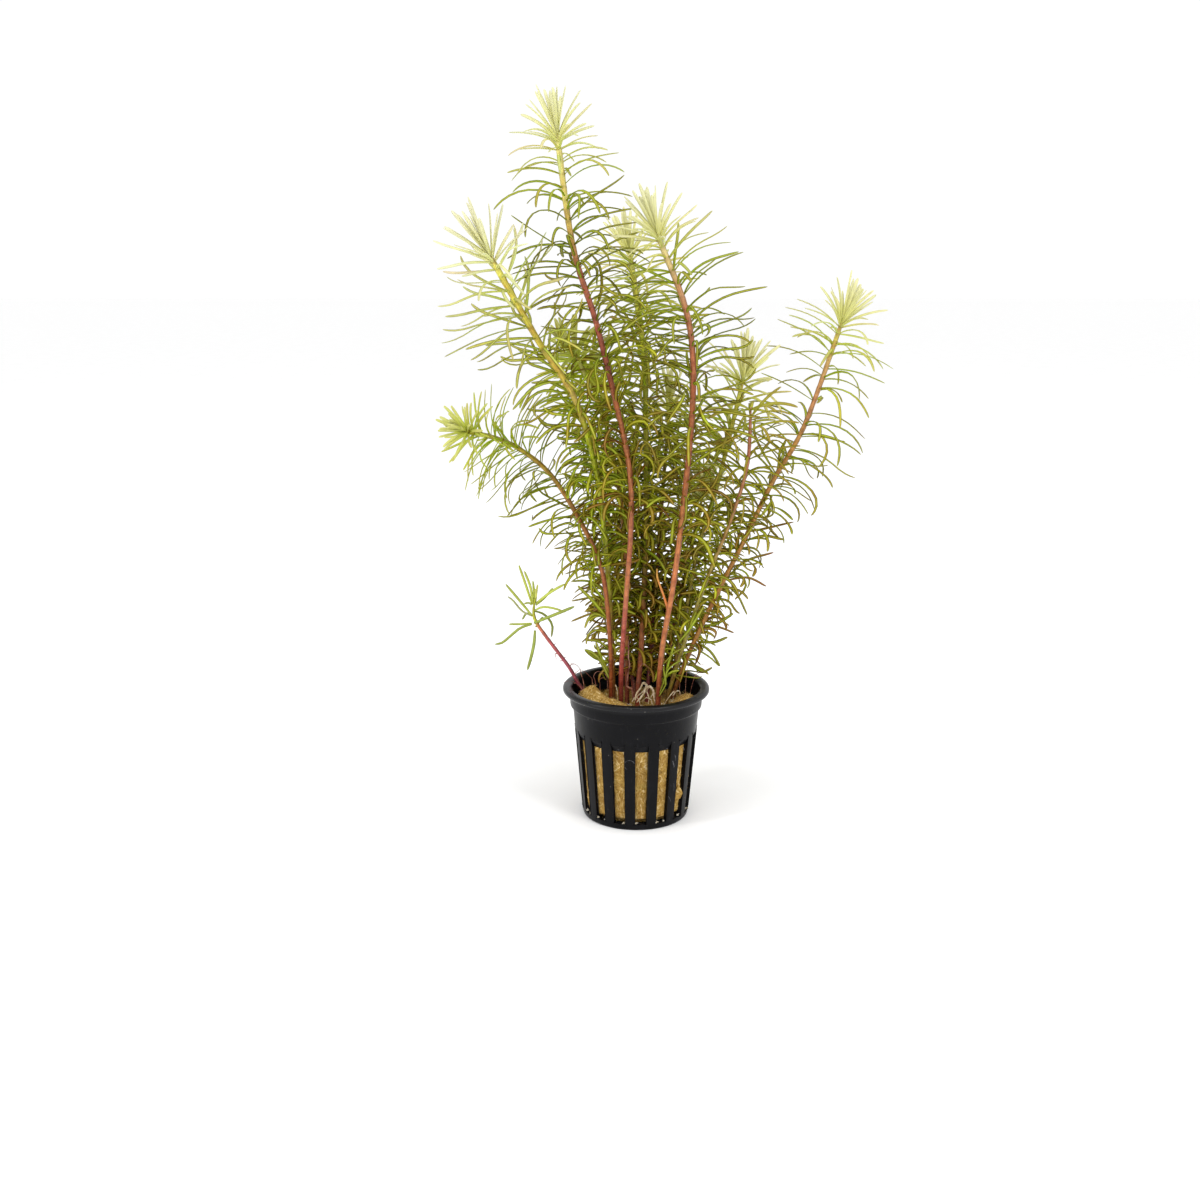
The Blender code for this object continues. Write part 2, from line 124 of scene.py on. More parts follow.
# leafless is the length from the foot up that is bare, and spacing the step between the even whorls of so
# many leaves. scale is the leaves' size near the tip and low down, droop how far those near the tip bend
# over. From thin[0] below the tip the leaves thin out to the share thin[1]
Stem = namedtuple("Stem", "name slot route base_radius tip_radius leafless whorls scale droop curl spacing "
                          "leaves width thin tones bark")
STEMS = (
    Stem("stem_tallest", "red_tissue",
         ((-5.2, 0, 34), (-5.6, -2, 45), (-5.4, -5, 61), (-4.1, -11, 85), (-2.6, -15, 112), (-3.2, -17, 132),
          (-7.5, -17, 153), (-14.5, -15, 181), (-22.5, -12.5, 207), (-27.8, -8, 244)),
         0.84, 0.98, 82, CROWN_WHORLS, (1, 1), 1, 8, 3.9, 7, 1.2, (200, 1), "red",
         ((0, "e4e290"), (14, "dcd878"), (26, "ccbc5c"), (36, "b89044"), (46, "a8603a"), (60, "a0503a"),
          (80, "88442e"), (92, "9a582c"), (120, "a86438"), (138, "9c5836"), (158, "ac683c"), (170, "a45240"),
          (190, "a0443c"), (205, "883430"))),
    Stem("stem_upper_left", "yellow_green_tissue",
         ((-8.2, 4.5, 34), (-8.5, 4, 46), (-9, 3, 62), (-10, 1, 85), (-12, -3, 108), (-14.8, -8, 131),
          (-21.9, -15, 156), (-34, -20, 176), (-50.2, -23, 205)),
         0.95, 1.04, 24, CROWN_WHORLS, (1.1, 0.66), 0.5, 45, 4.3, 8, 1.15, (140, 0.8), "yellow",
         ((0, "e0de78"), (10, "d6d054"), (20, "c4bc40"), (45, "c0aa38"), (58, "b8a44a"), (64, "a8a828"),
          (70, "a4b010"), (112, "9ca60c"), (130, "8c8a14"), (150, "8c661c"), (185, "8c5a1c"))),
    Stem("stem_far_left", "bronze_tissue",
         ((-9, -0.5, 34), (-9.3, -1, 45), (-9.7, -3, 67), (-12.7, -5, 94), (-20.5, -4, 112), (-31, 0, 128),
          (-43, 5, 137), (-53, 7, 140.8), (-58.4, 6, 142), (-62.8, 2, 144)),
         0.8, 0.8, 60, SMALL_WHORLS, (0.95, 0.8), 0.7, 15, 3.2, 9, 1.08, (70, 0.2), "fresh",
         ((0, "d4cc3c"), (12, "b0ac24"), (28, "a08c1c"), (50, "a0742c"), (75, "a05c2c"), (105, "9c5420"),
          (135, "944420"), (150, "7c301c"))),
    Stem("stem_short_left", "green_tissue",
         ((-3.2, 7.5, 34), (-3.2, 9, 45), (-3.6, 13, 79), (-4.6, 14.5, 105), (-8, 15, 130), (-14, 13.5, 153),
          (-23.4, 1.2, 172.6)),
         0.85, 0.75, 20, OPEN_WHORLS, (0.82, 0.92), 0.9, 0, 3.9, 9, 1.25, (90, 0.85), "fresh",
         ((0, "dcd85c"), (12, "b4b828"), (45, "a8922c"), (80, "a87430"), (120, "a0622c"), (150, "984040"))),
    Stem("stem_centre", "green_tissue",
         ((0.6, 4.5, 34), (0.9, 6, 45), (2, 9, 60), (3.2, 13.5, 86), (3.8, 18, 115), (3.5, 21, 143),
          (2.5, 24, 170), (-2.9, 26, 206.5)),
         0.95, 1.1, 13, CROWN_WHORLS, (1, 0.95), 0.95, 0, 4, 10, 1.25, (150, 0.8), "green",
         ((0, "e0dc78"), (10, "c4c248"), (22, "b8ba3a"), (40, "a0a820"), (90, "908c1c"), (115, "948024"),
          (135, "a4642c"), (160, "ac5834"), (190, "ac4440"))),
    Stem("stem_upper_right", "red_tissue",
         ((7.4, -3.5, 34), (7.9, -6, 45), (9, -10, 66), (12.7, -15, 93), (15.5, -18, 122), (17.5, -19, 146),
          (17.9, -18, 168), (15, -15.5, 187), (4.9, -12, 212)),
         0.92, 0.98, 78, CROWN_WHORLS, (1.02, 1.02), 0.72, 30, 4.4, 7, 1.22, (200, 1), "red",
         ((0, "e2de8c"), (8, "e0cc88"), (18, "b89460"), (28, "b07850"), (42, "a05c3a"), (60, "9a562e"),
          (85, "9c5a30"), (100, "ac6a36"), (120, "ae663a"), (145, "ac6a3a"), (165, "a25434"),
          (190, "88342a"))),
    Stem("stem_right", "green_tissue",
         ((12.2, 11.5, 34), (13.6, 12, 45), (19, 14, 75), (23.4, 13, 100), (30, 12, 124), (38.4, 10, 163.5)),
         0.75, 0.75, 13, CROWN_WHORLS, (0.98, 0.82), 0.9, 5, 4, 9, 1.2, (90, 0.75), "green",
         ((0, "e0dc78"), (12, "bcbc3a"), (50, "9c9c24"), (110, "968030"), (140, "98542c"))),
    Stem("stem_slim_right", "pink_tissue",
         ((10.3, -0.5, 34), (11.8, -1, 45), (17.3, -3, 66), (25.4, -5, 92), (32.8, -6, 112), (38.3, -6, 132),
          (39.1, -6, 152.5)),
         0.72, 0.6, 24, TOPPED_WHORLS, (0.8, 0.7), 1, 5, 4.8, 6, 1.15, (60, 0.5), "dark",
         ((0, "c08c68"), (12, "ac6c52"), (25, "a8704c"), (45, "94743c"), (70, "88802c"), (110, "7c7424"),
          (130, "7c5420"))),
    Stem("stem_far_right", "bronze_tissue",
         ((13.2, 7, 34), (14.9, 8, 45), (20.9, 7, 62), (29.4, 6, 82), (38.2, 5, 101), (49, 6, 124.5),
          (60.6, 10, 145), (74.3, 17, 183)),
         0.82, 0.82, 18, CROWN_WHORLS, (1.06, 0.66), 0.95, 12, 4.2, 7, 1.2, (75, 0.45), "green",
         ((0, "e0dc80"), (9, "ccc058"), (18, "c09a5c"), (32, "b47c50"), (50, "b0803c"), (70, "b4843c"),
          (110, "b07c30"), (160, "946024"))),
    Stem("side_shoot", "pink_tissue",
         ((-16.2, 3.6, 35), (-18.2, 3.8, 44), (-21.4, 4, 48.6), (-25.2, 4, 55.6), (-33.4, 4, 67),
          (-37.6, 3, 74.5), (-37.3, 2, 82)),
         0.72, 0.58, 38, CROWN_WHORLS, (1, 1), 1, 0, 3.2, 5, 1.15, None, None,
         ((0, "c0cc30"), (9, "b4b832"), (11, "c8784c"), (18, "b45a5c"), (30, "a84c5c"), (60, "98405a"))),
    Stem("stem_back_centre", "bronze_tissue",
         ((4.2, 10, 34), (4.9, 13, 45), (7.6, 22, 76), (10.3, 30, 114), (13.2, 38, 151)),
         0.8, 0.6, 11, CROWN_WHORLS, (0.9, 0.8), 1, 0, 3.5, 9, 1.25, (200, 1), "bronze", BACK_BARK),
    Stem("stem_back_left", "bronze_tissue",
         ((0, 12.5, 34), (-0.6, 15.5, 45), (-4.9, 26, 76), (-12.2, 38, 120)),
         0.8, 0.6, 11, CROWN_WHORLS, (0.88, 0.8), 1, 0, 3.4, 9, 1.25, (200, 1), "bronze", BACK_BARK),
    Stem("stem_back_right", "green_tissue",
         ((9, 14, 34), (10.6, 16.5, 45), (17.4, 26, 76), (26.5, 34, 117)),
         0.8, 0.6, 11, CROWN_WHORLS, (0.88, 0.8), 1, 0, 3.4, 9, 1.25, (200, 1), "green", BACK_BARK),
)

# Where a stem has fewer leaves on one side: direction, distances below its tip, share left
SPARSE_SIDES = (
    ("stem_upper_left", (1, 0, 0), 24, 70, 0.35), ("stem_upper_left", (-1, 0, 0), 105, 140, 0.5),
    ("stem_tallest", (-1, 0, 0), 12, 50, 0.75), ("stem_tallest", (1, 0, 0), 12, 26, 0.8),
    ("stem_far_left", (0, 0, 1), 30, 80, 0.2), ("stem_far_left", (-1, 0, 0), 66, 92, 0.6),
    ("stem_far_right", (-1, 0, 0), 18, 42, 0.4), ("stem_far_right", (1, 0, 0), 30, 60, 0.7),
    ("stem_right", (1, 0, 0), 14, 50, 0.4),
)

# A clear line of sight from the front to a stem: how far ahead of it, its half width, and from how far below
# the tip on. The two thick red stems are clear down to the wool, the others from CLEAR_FROM along them
LONG_VIEW = 18
CLEAR_FROM = 90
CLEAR_AHEAD = {"stem_tallest": (LONG_VIEW, 2.0, 45), "stem_upper_right": (LONG_VIEW, 2.0, 45),
               "stem_centre": (40, 1.4, 22), "stem_upper_left": (9, 1.5, 30)}

# Leaves placed one by one are narrower than the widths given with them by these shares
LOW_LEAF_WIDTH = 0.68
SHOOT_LEAF_WIDTH = 0.92
# Broad low leaves that show singly, by stem: width, tones of root and tip, route
LOW_LEAVES = {
    "stem_far_left": (
        (1.75, "a2b01c", "a8a83c", ((-10.4, -3, 75.5), (-15.8, -6, 82.9), (-21.3, -9, 89.4))),
        (1.5, "a2a828", "a89c3c", ((-10.6, -3, 75.7), (-14.9, -5, 78), (-17.3, -7, 77.1), (-18.9, -8, 73.5))),
        (1.3, "8c9c14", "94902c", ((-11.7, -4, 85.8), (-15.8, -6, 89.8), (-19.6, -8, 91.1), (-23.4, -9, 91))),
        (1.5, "96a818", "9c9c30", ((-11, -4, 82.2), (-14.9, -7, 87.6), (-17.6, -9, 93.6))),
        (1.4, "909a20", "98882c", ((-9.9, -2, 63.9), (-14.1, -5, 67.7), (-18.9, -7, 68.8))),
        (1.6, "a0ac20", "8c8420", ((-9.9, -2, 58.8), (-15, -5, 61.3), (-18.9, -7, 65))),
        (1.7, "a8b824", "b0b048", ((-10, -1, 54.5), (-12.7, -4, 60.4), (-14.9, -7, 68))),
        (1.4, "98a018", "a08c30", ((-12.4, -4, 90.8), (-16.6, -7, 94.6), (-19.2, -8, 99.1),
                                   (-19.5, -8, 102.6))),
        (1.3, "989c1c", "a4923c", ((-10.3, -3, 70.5), (-14.9, -6, 72.2), (-17.7, -8, 71), (-18.4, -8, 67.4))),
        (1.5, "8a5a2c", "8a4a28", ((-10.6, -3, 79.5), (-14.1, 0, 78.7), (-16.5, 2, 76.2), (-16.9, 3, 73.1))),
        (1.6, "b0b84c", "94a024", ((-10, -1.6, 52.5), (-13.4, -5, 60.5), (-16.2, -8, 64.3), (-19, -10, 66))),
        (0.8, "98a020", "a09c30", ((-10.1, -1.4, 57.4), (-11.6, -4, 61.4), (-13.4, -6, 62.6),
                                   (-13.1, -7, 60.5), (-11.6, -6, 58.7)))),
    "stem_far_right": (
        (1.75, "9cac1c", "a0a030", ((25.3, 7, 70.2), (29.8, 3, 72.3), (35.4, 0, 76.9))),
        (1.3, "94701c", "8c5420", ((25.8, 7, 70.7), (30.8, 4, 70.6), (36, 2, 69))),
        (1.6, "98a020", "94882c", ((23.7, 7, 64.1), (29.1, 3, 65.2), (33.5, 0, 67.9))),
        (1.5, "8e9424", "807828", ((23.3, 7, 63.7), (27.7, 4, 61.2), (31.2, 2, 56.1))),
        (1.5, "94a01c", "8c8c28", ((20.3, 8, 55.4), (24.8, 4, 53.5), (28.3, 2, 55.6))),
        (1.25, "9c6c24", "8a3c24", ((33.3, 6.5, 87.9), (40.9, 4, 89.4), (47.5, 3, 86.4))),
        (1.4, "8e8c24", "8c3424", ((33.8, 6.5, 89.2), (39.6, 2, 96.1), (49.2, -1, 99.9))),
        (1.3, "8c9020", "847c28", ((32.5, 6.5, 86.6), (37, 3, 83.2), (40.6, 1, 76.1))),
        (1.3, "8c8c24", "8c6c28", ((28.5, 7, 76.7), (32.5, 5, 78.5), (34.7, 4, 77.5), (34.8, 4, 74.4))),
        (1.3, "949c20", "8c6c28", ((33.3, 6.5, 88.8), (38.3, 3, 90), (39.8, 1, 86.5), (35.8, 0, 82.1)))),
    "stem_upper_right": (
        (1.5, "a4bc1c", "a8b030", ((10.3, -6, 51.5), (11.2, -8, 59.3), (13.4, -9, 67.7))),
        (1.6, "9cb018", "a0a42c", ((9, -6, 52.4), (12, -9, 56.9), (15.2, -11, 58.5))),
        (1.5, "a0b424", "a8a838", ((15.2, -8, 68.3), (19.1, -10, 74.2), (23.8, -11, 82.6))),
        (0.9, "a8b83c", "a0b02c", ((8.2, -7.6, 47.5), (10.6, -9, 52.8), (10.3, -9, 56), (12.4, -9, 59.4),
                                   (16, -8, 61.4))),
        (0.8, "a0b030", "98a420", ((8.4, -8, 49), (10, -10, 55), (9.7, -10, 58), (9.8, -10, 60.1))),
        (0.9, "8c9020", "84842c", ((9.6, -10.4, 60.8), (13.7, -10.4, 65.2), (18.2, -11, 67.2)))),
    "stem_tallest": ((1.7, "a0b81c", "a8ac34", ((2.9, 6, 99.7), (7.4, -2, 97.8), (10.3, -6, 93.8))),),
    "stem_right": (
        (1.1, "98a428", "8c9024", ((14, 11.4, 50), (16.8, 2, 52.3), (19.9, -3, 53.4), (22.9, -4, 53.4),
                                   (24, -4, 54.3))),
        (1, "98a41c", "8c941c", ((16.6, 13, 61), (21, 6, 63.3), (24.2, 3, 61.4), (27.5, 1, 59.7),
                                 (30.5, 0, 56.8)))),
}

# Leaves of the side shoot: width, shade and route from its node, sideways, towards the back and up
SHOOT_NODE = (-38.1, 3.2, 72.3)
SHOOT_LEAVES = (
    (1, "c6d046", ((-0.3, 0, 7.3), (-2.6, 1.6, 14.2), (-5.1, 3, 21.3))),
    (1, "c2cc3c", ((0.1, -0.3, 7.3), (-0.7, -2.2, 14.4), (-2.7, -4, 20.7))),
    (0.95, "b0c024", ((0.5, -0.4, 7.4), (0.5, -0.9, 12), (0.2, -1.2, 16.4))),
    (0.9, "e2e67c", ((1, 0.2, 8), (1.3, 0.8, 11.4), (1.8, 1.4, 14.4))),
    (0.9, "dce26c", ((0.8, -0.2, 8), (1.2, -0.8, 11), (1, -1.6, 13.4))),
    (0.8, "e2e67c", ((0.9, 0, 8.4), (0.9, 0.3, 11), (0.6, 0.6, 13.2))),
    (1.05, "c0cc48", ((1.1, -0.3, 7.6), (6.6, -1.6, 12.2), (11.9, -3, 15.6))),
    (1, "b8c640", ((1.1, 0.3, 6.8), (4.4, 2.6, 9.3), (7.2, 5, 12.2))),
    (1, "b4c238", ((0.6, -0.4, 4.9), (3.6, -2, 6.7), (8, -3.6, 6.6), (12.1, -5, 5.5))),
    (1.25, "8ea008", ((0.4, -0.4, 0.2), (4.2, -2, 2.2), (9.6, -4.2, 5), (15.4, -6, 7.9))),
    (0.9, "98a818", ((0.9, 0.3, -1.6), (2.2, 1.8, 0.2), (3.6, 3.4, 1.6))),
    (1, "8c9c14", ((0.5, 0.4, 4.6), (4, 3, 2.6), (6.8, 5.6, -2), (6.5, 7, -7.2))),
    (1.05, "a8b430", ((-0.3, -0.3, 3), (-4.8, -1, 8.9), (-9.7, -2, 15.3))),
    (0.8, "a4a86c", ((-0.4, 0.4, 2.6), (-4.3, 3.4, 3.9), (-7.6, 6, 7.1), (-9.8, 8, 8.2))),
    (0.9, "98a828", ((-0.3, 0.4, 2.6), (-2.5, 2.6, 3.1), (-4.2, 4.6, 0.2))),
    (0.95, "a2ae2c", ((-0.4, 0.3, -0.1), (-4.3, 2.2, -0.9), (-9.2, 4, -1.4))),
    (1.1, "94a410", ((-0.5, -0.3, -0.3), (-4.6, -1.4, -1.4), (-8, -2.2, -4), (-11.2, -2.8, -6.6),
                     (-14, -3, -7.2))),
    (1.3, "869808", ((0.7, -0.4, -2.6), (0.4, -2, -7), (-0.7, -3.2, -12), (-2.1, -4, -16.8))),
    (0.8, "b0bc3c", ((-0.4, -0.2, 7), (-1.4, -1.6, 8.2), (-3, -3, 8.2))),
)

# A thin bare twig that joins the thick red stem from the left
TWIG_ROUTE = ((11.2, -12.6, 79.5), (9.9, -13.4, 84.6), (8.2, -14, 89.6), (6.8, -14.6, 93.8), (6.6, -15, 97))

# Pale streaks on the ribs and at the tops of the slots, painted highlights where their edges catch the light:
# start and end as angle round the pot in degrees and height, and thickness
EDGE_HIGHLIGHTS = (
    ((-54.2, 26.4), (-52.6, 24.2), 0.16), ((-52.4, 23.6), (-51.4, 24.9), 0.13),
    ((-51.9, 28.6), (-50.6, 26.2), 0.12), ((-56.6, 12.6), (-52.2, 9.8), 0.1),
    ((-50.6, 17.2), (-49.6, 14), 0.09), ((-108.6, 31.9), (-106.4, 32), 0.09),
    ((-63.4, 31.7), (-60.8, 31.9), 0.09), ((-41.2, 30.6), (-39.4, 29), 0.1),
    ((-131, 20.2), (-130.4, 17.4), 0.08),
)

# The wool's lumps and hollows: place, rise, width and depth, above its even level
WOOL_LEVEL = 43.6
WOOL_LUMPS = ((-16.5, -3.5, 6.8, 4.2, 4.6), (-8.5, -12, 3.4, 5, 4.5), (18.5, -6, 4.6, 3.4, 4.2),
              (3, -19, 1.6, 7, 2.5), (11, -14.5, 2.2, 3.4, 3), (0.5, 2, -4.5, 8, 5), (-6, 12, -3.5, 9, 6),
              (9, 12, -2, 8, 6))
# Columns of points round the wool, and radii of the rings of points on its top
WOOL_COLUMNS = 352
WOOL_RINGS = (22.0, 21.4, 20.6, 19.6, 18.5, 17.3, 16, 14.6, 13.2, 11.8, 10.3, 8.8, 7.2, 5.6, 4, 2.4, 1)
# Small cream tufts at the stems' feet: place and size
TUFTS = ((-8.2, -1.9, 0.9), (-6.9, -3.6, 0.6), (-3.5, -2.3, 0.9), (-2.6, -3.8, 0.7), (-1.2, -2.2, 0.6),
         (13.4, -0.8, 0.7), (2.4, -5.4, 0.6), (9.6, -6.8, 0.6))
# Loose fibres on the wool's top and in the slots
TOP_FIBRES = 700
SLOT_FIBRES = 1100

# A strand's real radius as a share of the one given with its route
STRAND_WIDTH = 0.54
# White roots that fan out from the lowest nodes between the stems and dip into the wool: radius and route
ROOTS = (
    (0.8, ((4, 1, 49), (2.7, 0.5, 50.1), (1.5, -0.5, 48.2), (0.3, -2, 47.1), (-0.4, -3, 45.4),
           (-0.6, -3.4, 44))),
    (0.95, ((4.1, 0.6, 48.9), (3.2, -1, 47.2), (1.9, -2, 45.4), (0.9, -3, 44.6), (0.2, -3.4, 43.8))),
    (0.6, ((4.1, 0.6, 48.9), (2.6, -0.6, 47.1), (0.5, -2.2, 45.9), (-0.4, -2.6, 44.2))),
    (0.95, ((4.3, 0, 48.4), (5.3, -1.4, 49.2), (6.2, -3.4, 48.4), (6.5, -4.4, 46.4), (6.9, -5.2, 44))),
    (0.5, ((4.3, 0, 48.4), (4, -2, 47.4), (4.7, -3.6, 45.6), (4.4, -5, 43.8))),
    (0.4, ((5.4, -1.5, 48.7), (6.4, -2.6, 47.2), (5.4, -4.4, 46.2), (5.8, -6, 43.8))),
    (0.42, ((14.1, -2, 47.8), (12.7, -4, 47), (11.1, -5.4, 45.2), (10.4, -6, 44))),
    (0.55, ((13.6, -3, 46.2), (14.6, -3.4, 48), (15.8, -4, 48.4), (16.3, -4, 47))),
    (0.34, ((-7.7, -2, 50.2), (-7.2, -2.2, 48.8), (-6.9, -2.6, 46.6), (-6.9, -2.8, 44))),
    (0.34, ((2.4, -3, 44), (3.6, -4.6, 46), (5.4, -5.2, 45.4), (6.2, -6.4, 43.6))),
    (0.3, ((-1.6, -3.4, 44), (-0.4, -4.2, 46.2), (0.8, -5.4, 45.6), (1.4, -6.4, 43.6))),
)

# Dead runners and stalks, brown: radius and route
DEAD_CURLS = (
    (0.6, ((-1.1, 1, 44), (-1.6, 0, 47.8), (-2.6, 0, 48.4), (-3.5, 0, 49.2), (-3.4, 0, 50.8), (-3, 0, 53.7),
           (-2.5, 0, 57.3), (-2.9, 0.6, 60.4), (-2.8, 1.4, 66))),
    (0.34, ((-19.2, 3.4, 43), (-19.5, 3, 49.1), (-20.3, 2, 52.7), (-21, 0, 56), (-22.9, -2, 58.3),
            (-24.6, -4, 58.8))),
    (0.3, ((-15, 3.4, 43), (-15.1, 3, 49.4), (-15.7, 2, 52.2), (-14.5, 1, 54.3), (-12.4, 1, 53.9),
           (-10.8, 2, 51.6), (-10.6, 2.4, 46))),
    (0.28, ((-16.2, 3.4, 43), (-16.3, 3, 50.3), (-17.5, 2, 52.5), (-19.1, 1, 54.4), (-20.3, 0, 55.1))),
    (0.24, ((-13.4, 2.4, 43), (-13.4, 2, 49), (-13.6, 1, 51.1), (-12.2, 0, 52.3), (-11.2, 1, 51.4))),
    (0.22, ((-18.6, 2.2, 44), (-20.8, 1, 48.4), (-24, -0.6, 51.2), (-27, -1, 50.8))),
    (0.24, ((16.4, 4.6, 44), (16.7, 4, 50.8), (18.6, 2, 52.2), (20.5, 1, 51.9), (22.1, 0, 53),
            (23.7, 0, 52.4))),
    (0.24, ((20.2, 5, 44), (22.1, 4, 51.6), (24.3, 2, 53.9), (28.1, 0, 56.4))),
    (0.22, ((18.6, 6, 43.4), (19.4, 5, 54.8), (22.7, 4, 55.8), (25.7, 3, 56.7))),
    (0.26, ((0.6, -1.4, 55.4), (1.5, -3, 57.5), (2.4, -4, 58.9), (4.1, -4, 57.6), (4.5, -3, 55.6),
            (4.6, -2, 52.8))),
)


# General helpers

def linear(code):
    """Linear colour of a six-digit colour as seen on a screen."""
    seen = np.array([int(code[i:i + 2], 16) / 255 for i in (0, 2, 4)])
    return np.where(seen <= 0.04045, seen / 12.92, ((seen + 0.055) / 1.055) ** 2.4)


def smooth(t):
    t = np.clip(t, 0, 1)
    return t * t * (3 - 2 * t)


def unit(v):
    return v / np.maximum(np.linalg.norm(v, axis=-1, keepdims=True), 1e-9)


def along_colours(stops, distances):
    """Colours at the distances, from stops of (distance, colour code)."""
    at = [stop[0] for stop in stops]
    table = np.array([linear(stop[1]) for stop in stops])
    return np.stack([np.interp(distances, at, table[:, k]) for k in range(3)], axis=-1)


def band_faces(rows, columns):
    """Faces between rows of points that each run round a closed section."""
    return [(i * columns + j, i * columns + (j + 1) % columns, (i + 1) * columns + (j + 1) % columns,
             (i + 1) * columns + j) for i in range(rows - 1) for j in range(columns)]


def polar(radius, angle, z):
    return radius * math.cos(angle), radius * math.sin(angle), z


def round_angles(sides):
    return math.tau * np.arange(sides) / sides


def swing(angle, first, second):
    """Directions swung by an angle from a first one towards a second."""
    return np.cos(angle)[..., None] * first + np.sin(angle)[..., None] * second


def stored_places(along, aside, extra):
    """A place for each point: how far along, how far aside from the middle, and one more number."""
    return np.stack(np.broadcast_arrays(along, aside, extra), axis=-1).reshape(-1, 3)


def add_object(name, data):
    obj = bpy.data.objects.new(name, data)
    bpy.context.scene.collection.objects.link(obj)
    return obj


class Builder:
    """Collects points, faces and their colours for one piece."""

    def __init__(self):
        self.points, self.faces, self.tints, self.places = [], [], [], []
        self.count = 0

    def add(self, points, faces, tints=None, places=None):
        points = np.asarray(points, float).reshape(-1, 3)
        self.points.append(points)
        self.faces += [tuple(int(i) + self.count for i in face) for face in faces]
        for kept, given in ((self.tints, tints), (self.places, places)):
            if given is not None:
                kept.append(np.broadcast_to(given, (len(points), 3)))
        self.count += len(points)

    def strand(self, route, step, sides, radius, tints=None, places=None):
        """A thin tube along a route. radius is a number, or worked out from the share of its length."""
        line = Axis(route, step)
        radii = radius(line.share) if callable(radius) else radius
        self.add(*tube(line, line.stations, radii, sides), tints, places)

    def piece(self, name, mat, nodes, slot, smooth_shade=True, sharp=None):
        mesh = bpy.data.meshes.new(name)
        mesh.from_pydata((np.concatenate(self.points) * MM).tolist(), [], self.faces)
        if self.tints:
            tints = np.concatenate(self.tints)
            layer = mesh.color_attributes.new(name="tint", type="FLOAT_COLOR", domain="POINT")
            layer.data.foreach_set("color", np.hstack([tints, np.ones((len(tints), 1))]).ravel())
        if self.places:
            layer = mesh.attributes.new("place", "FLOAT_VECTOR", "POINT")
            layer.data.foreach_set("vector", np.concatenate(self.places).ravel())
        if smooth_shade:
            mesh.shade_smooth()
        if sharp:
            mesh.set_sharp_from_angle(angle=sharp)
        mesh.materials.append(mat)
        obj = add_object(name, mesh)
        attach(obj, "root")
        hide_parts(*nodes)
        return obj


def smooth_line(route, step):
    """Points about every step along a Catmull-Rom curve through the route, and their distances along it."""
    p = np.array(route, float)
    p = np.vstack([2 * p[0] - p[1], p, 2 * p[-1] - p[-2]])
    fine = []
    for a, b, c, d in zip(p, p[1:], p[2:], p[3:]):
        for t in np.linspace(0, 1, 40, endpoint=False):
            fine.append(0.5 * (2 * b + (c - a) * t + (2 * a - 5 * b + 4 * c - d) * t ** 2
                               + (3 * b - a - 3 * c + d) * t ** 3))
    fine = np.array(fine + [p[-2]])
    along = np.concatenate([[0], np.cumsum(np.linalg.norm(np.diff(fine, axis=0), axis=1))])
    stations = np.linspace(0, along[-1], max(2, round(along[-1] / step) + 1))
    return np.stack([np.interp(stations, along, fine[:, k]) for k in range(3)], axis=1), stations


class Axis:
    """A centre line, with a side direction that turns with it and never flips."""

    def __init__(self, route, step=1.0):
        self.points, self.stations = smooth_line(route, step)
        self.length = self.stations[-1]
        self.share = self.stations / self.length
        self.tangents = unit(np.gradient(self.points, axis=0))
        side = np.array([1.0, 0, 0])
        if abs(self.tangents[0] @ side) > 0.9:
            side = np.array([0, 1.0, 0])
        sides = []
        for tangent in self.tangents:
            side = unit(side - tangent * (side @ tangent))
            sides.append(side)
        self.sides = np.array(sides)

    def at(self, s):
        """Points, tangents, sides and third directions at distances along the line."""
        s = np.asarray(s, float)
        point, tangent, side = (
            np.stack([np.interp(s, self.stations, table[:, k]) for k in range(3)], axis=-1)
            for table in (self.points, self.tangents, self.sides))
        tangent = unit(tangent)
        side = unit(side - tangent * (side * tangent).sum(-1, keepdims=True))
        return point, tangent, side, np.cross(tangent, side)


def tube(axis, s, radii, sides):
    """Points and faces of a closed tube. radii is one number per station, or one per station and side."""
    point, _, side, other = axis.at(s)
    radii = np.asarray(radii, float)
    radii = np.broadcast_to(radii[:, None] if radii.ndim == 1 else radii, (len(s), sides))
    outward = swing(round_angles(sides), side[:, None], other[:, None])
    points = point[:, None] + radii[..., None] * outward
    faces = band_faces(len(s), sides)
    faces += [tuple(reversed(range(sides))), tuple((len(s) - 1) * sides + k for k in range(sides))]
    return points.reshape(-1, 3), faces


# Materials

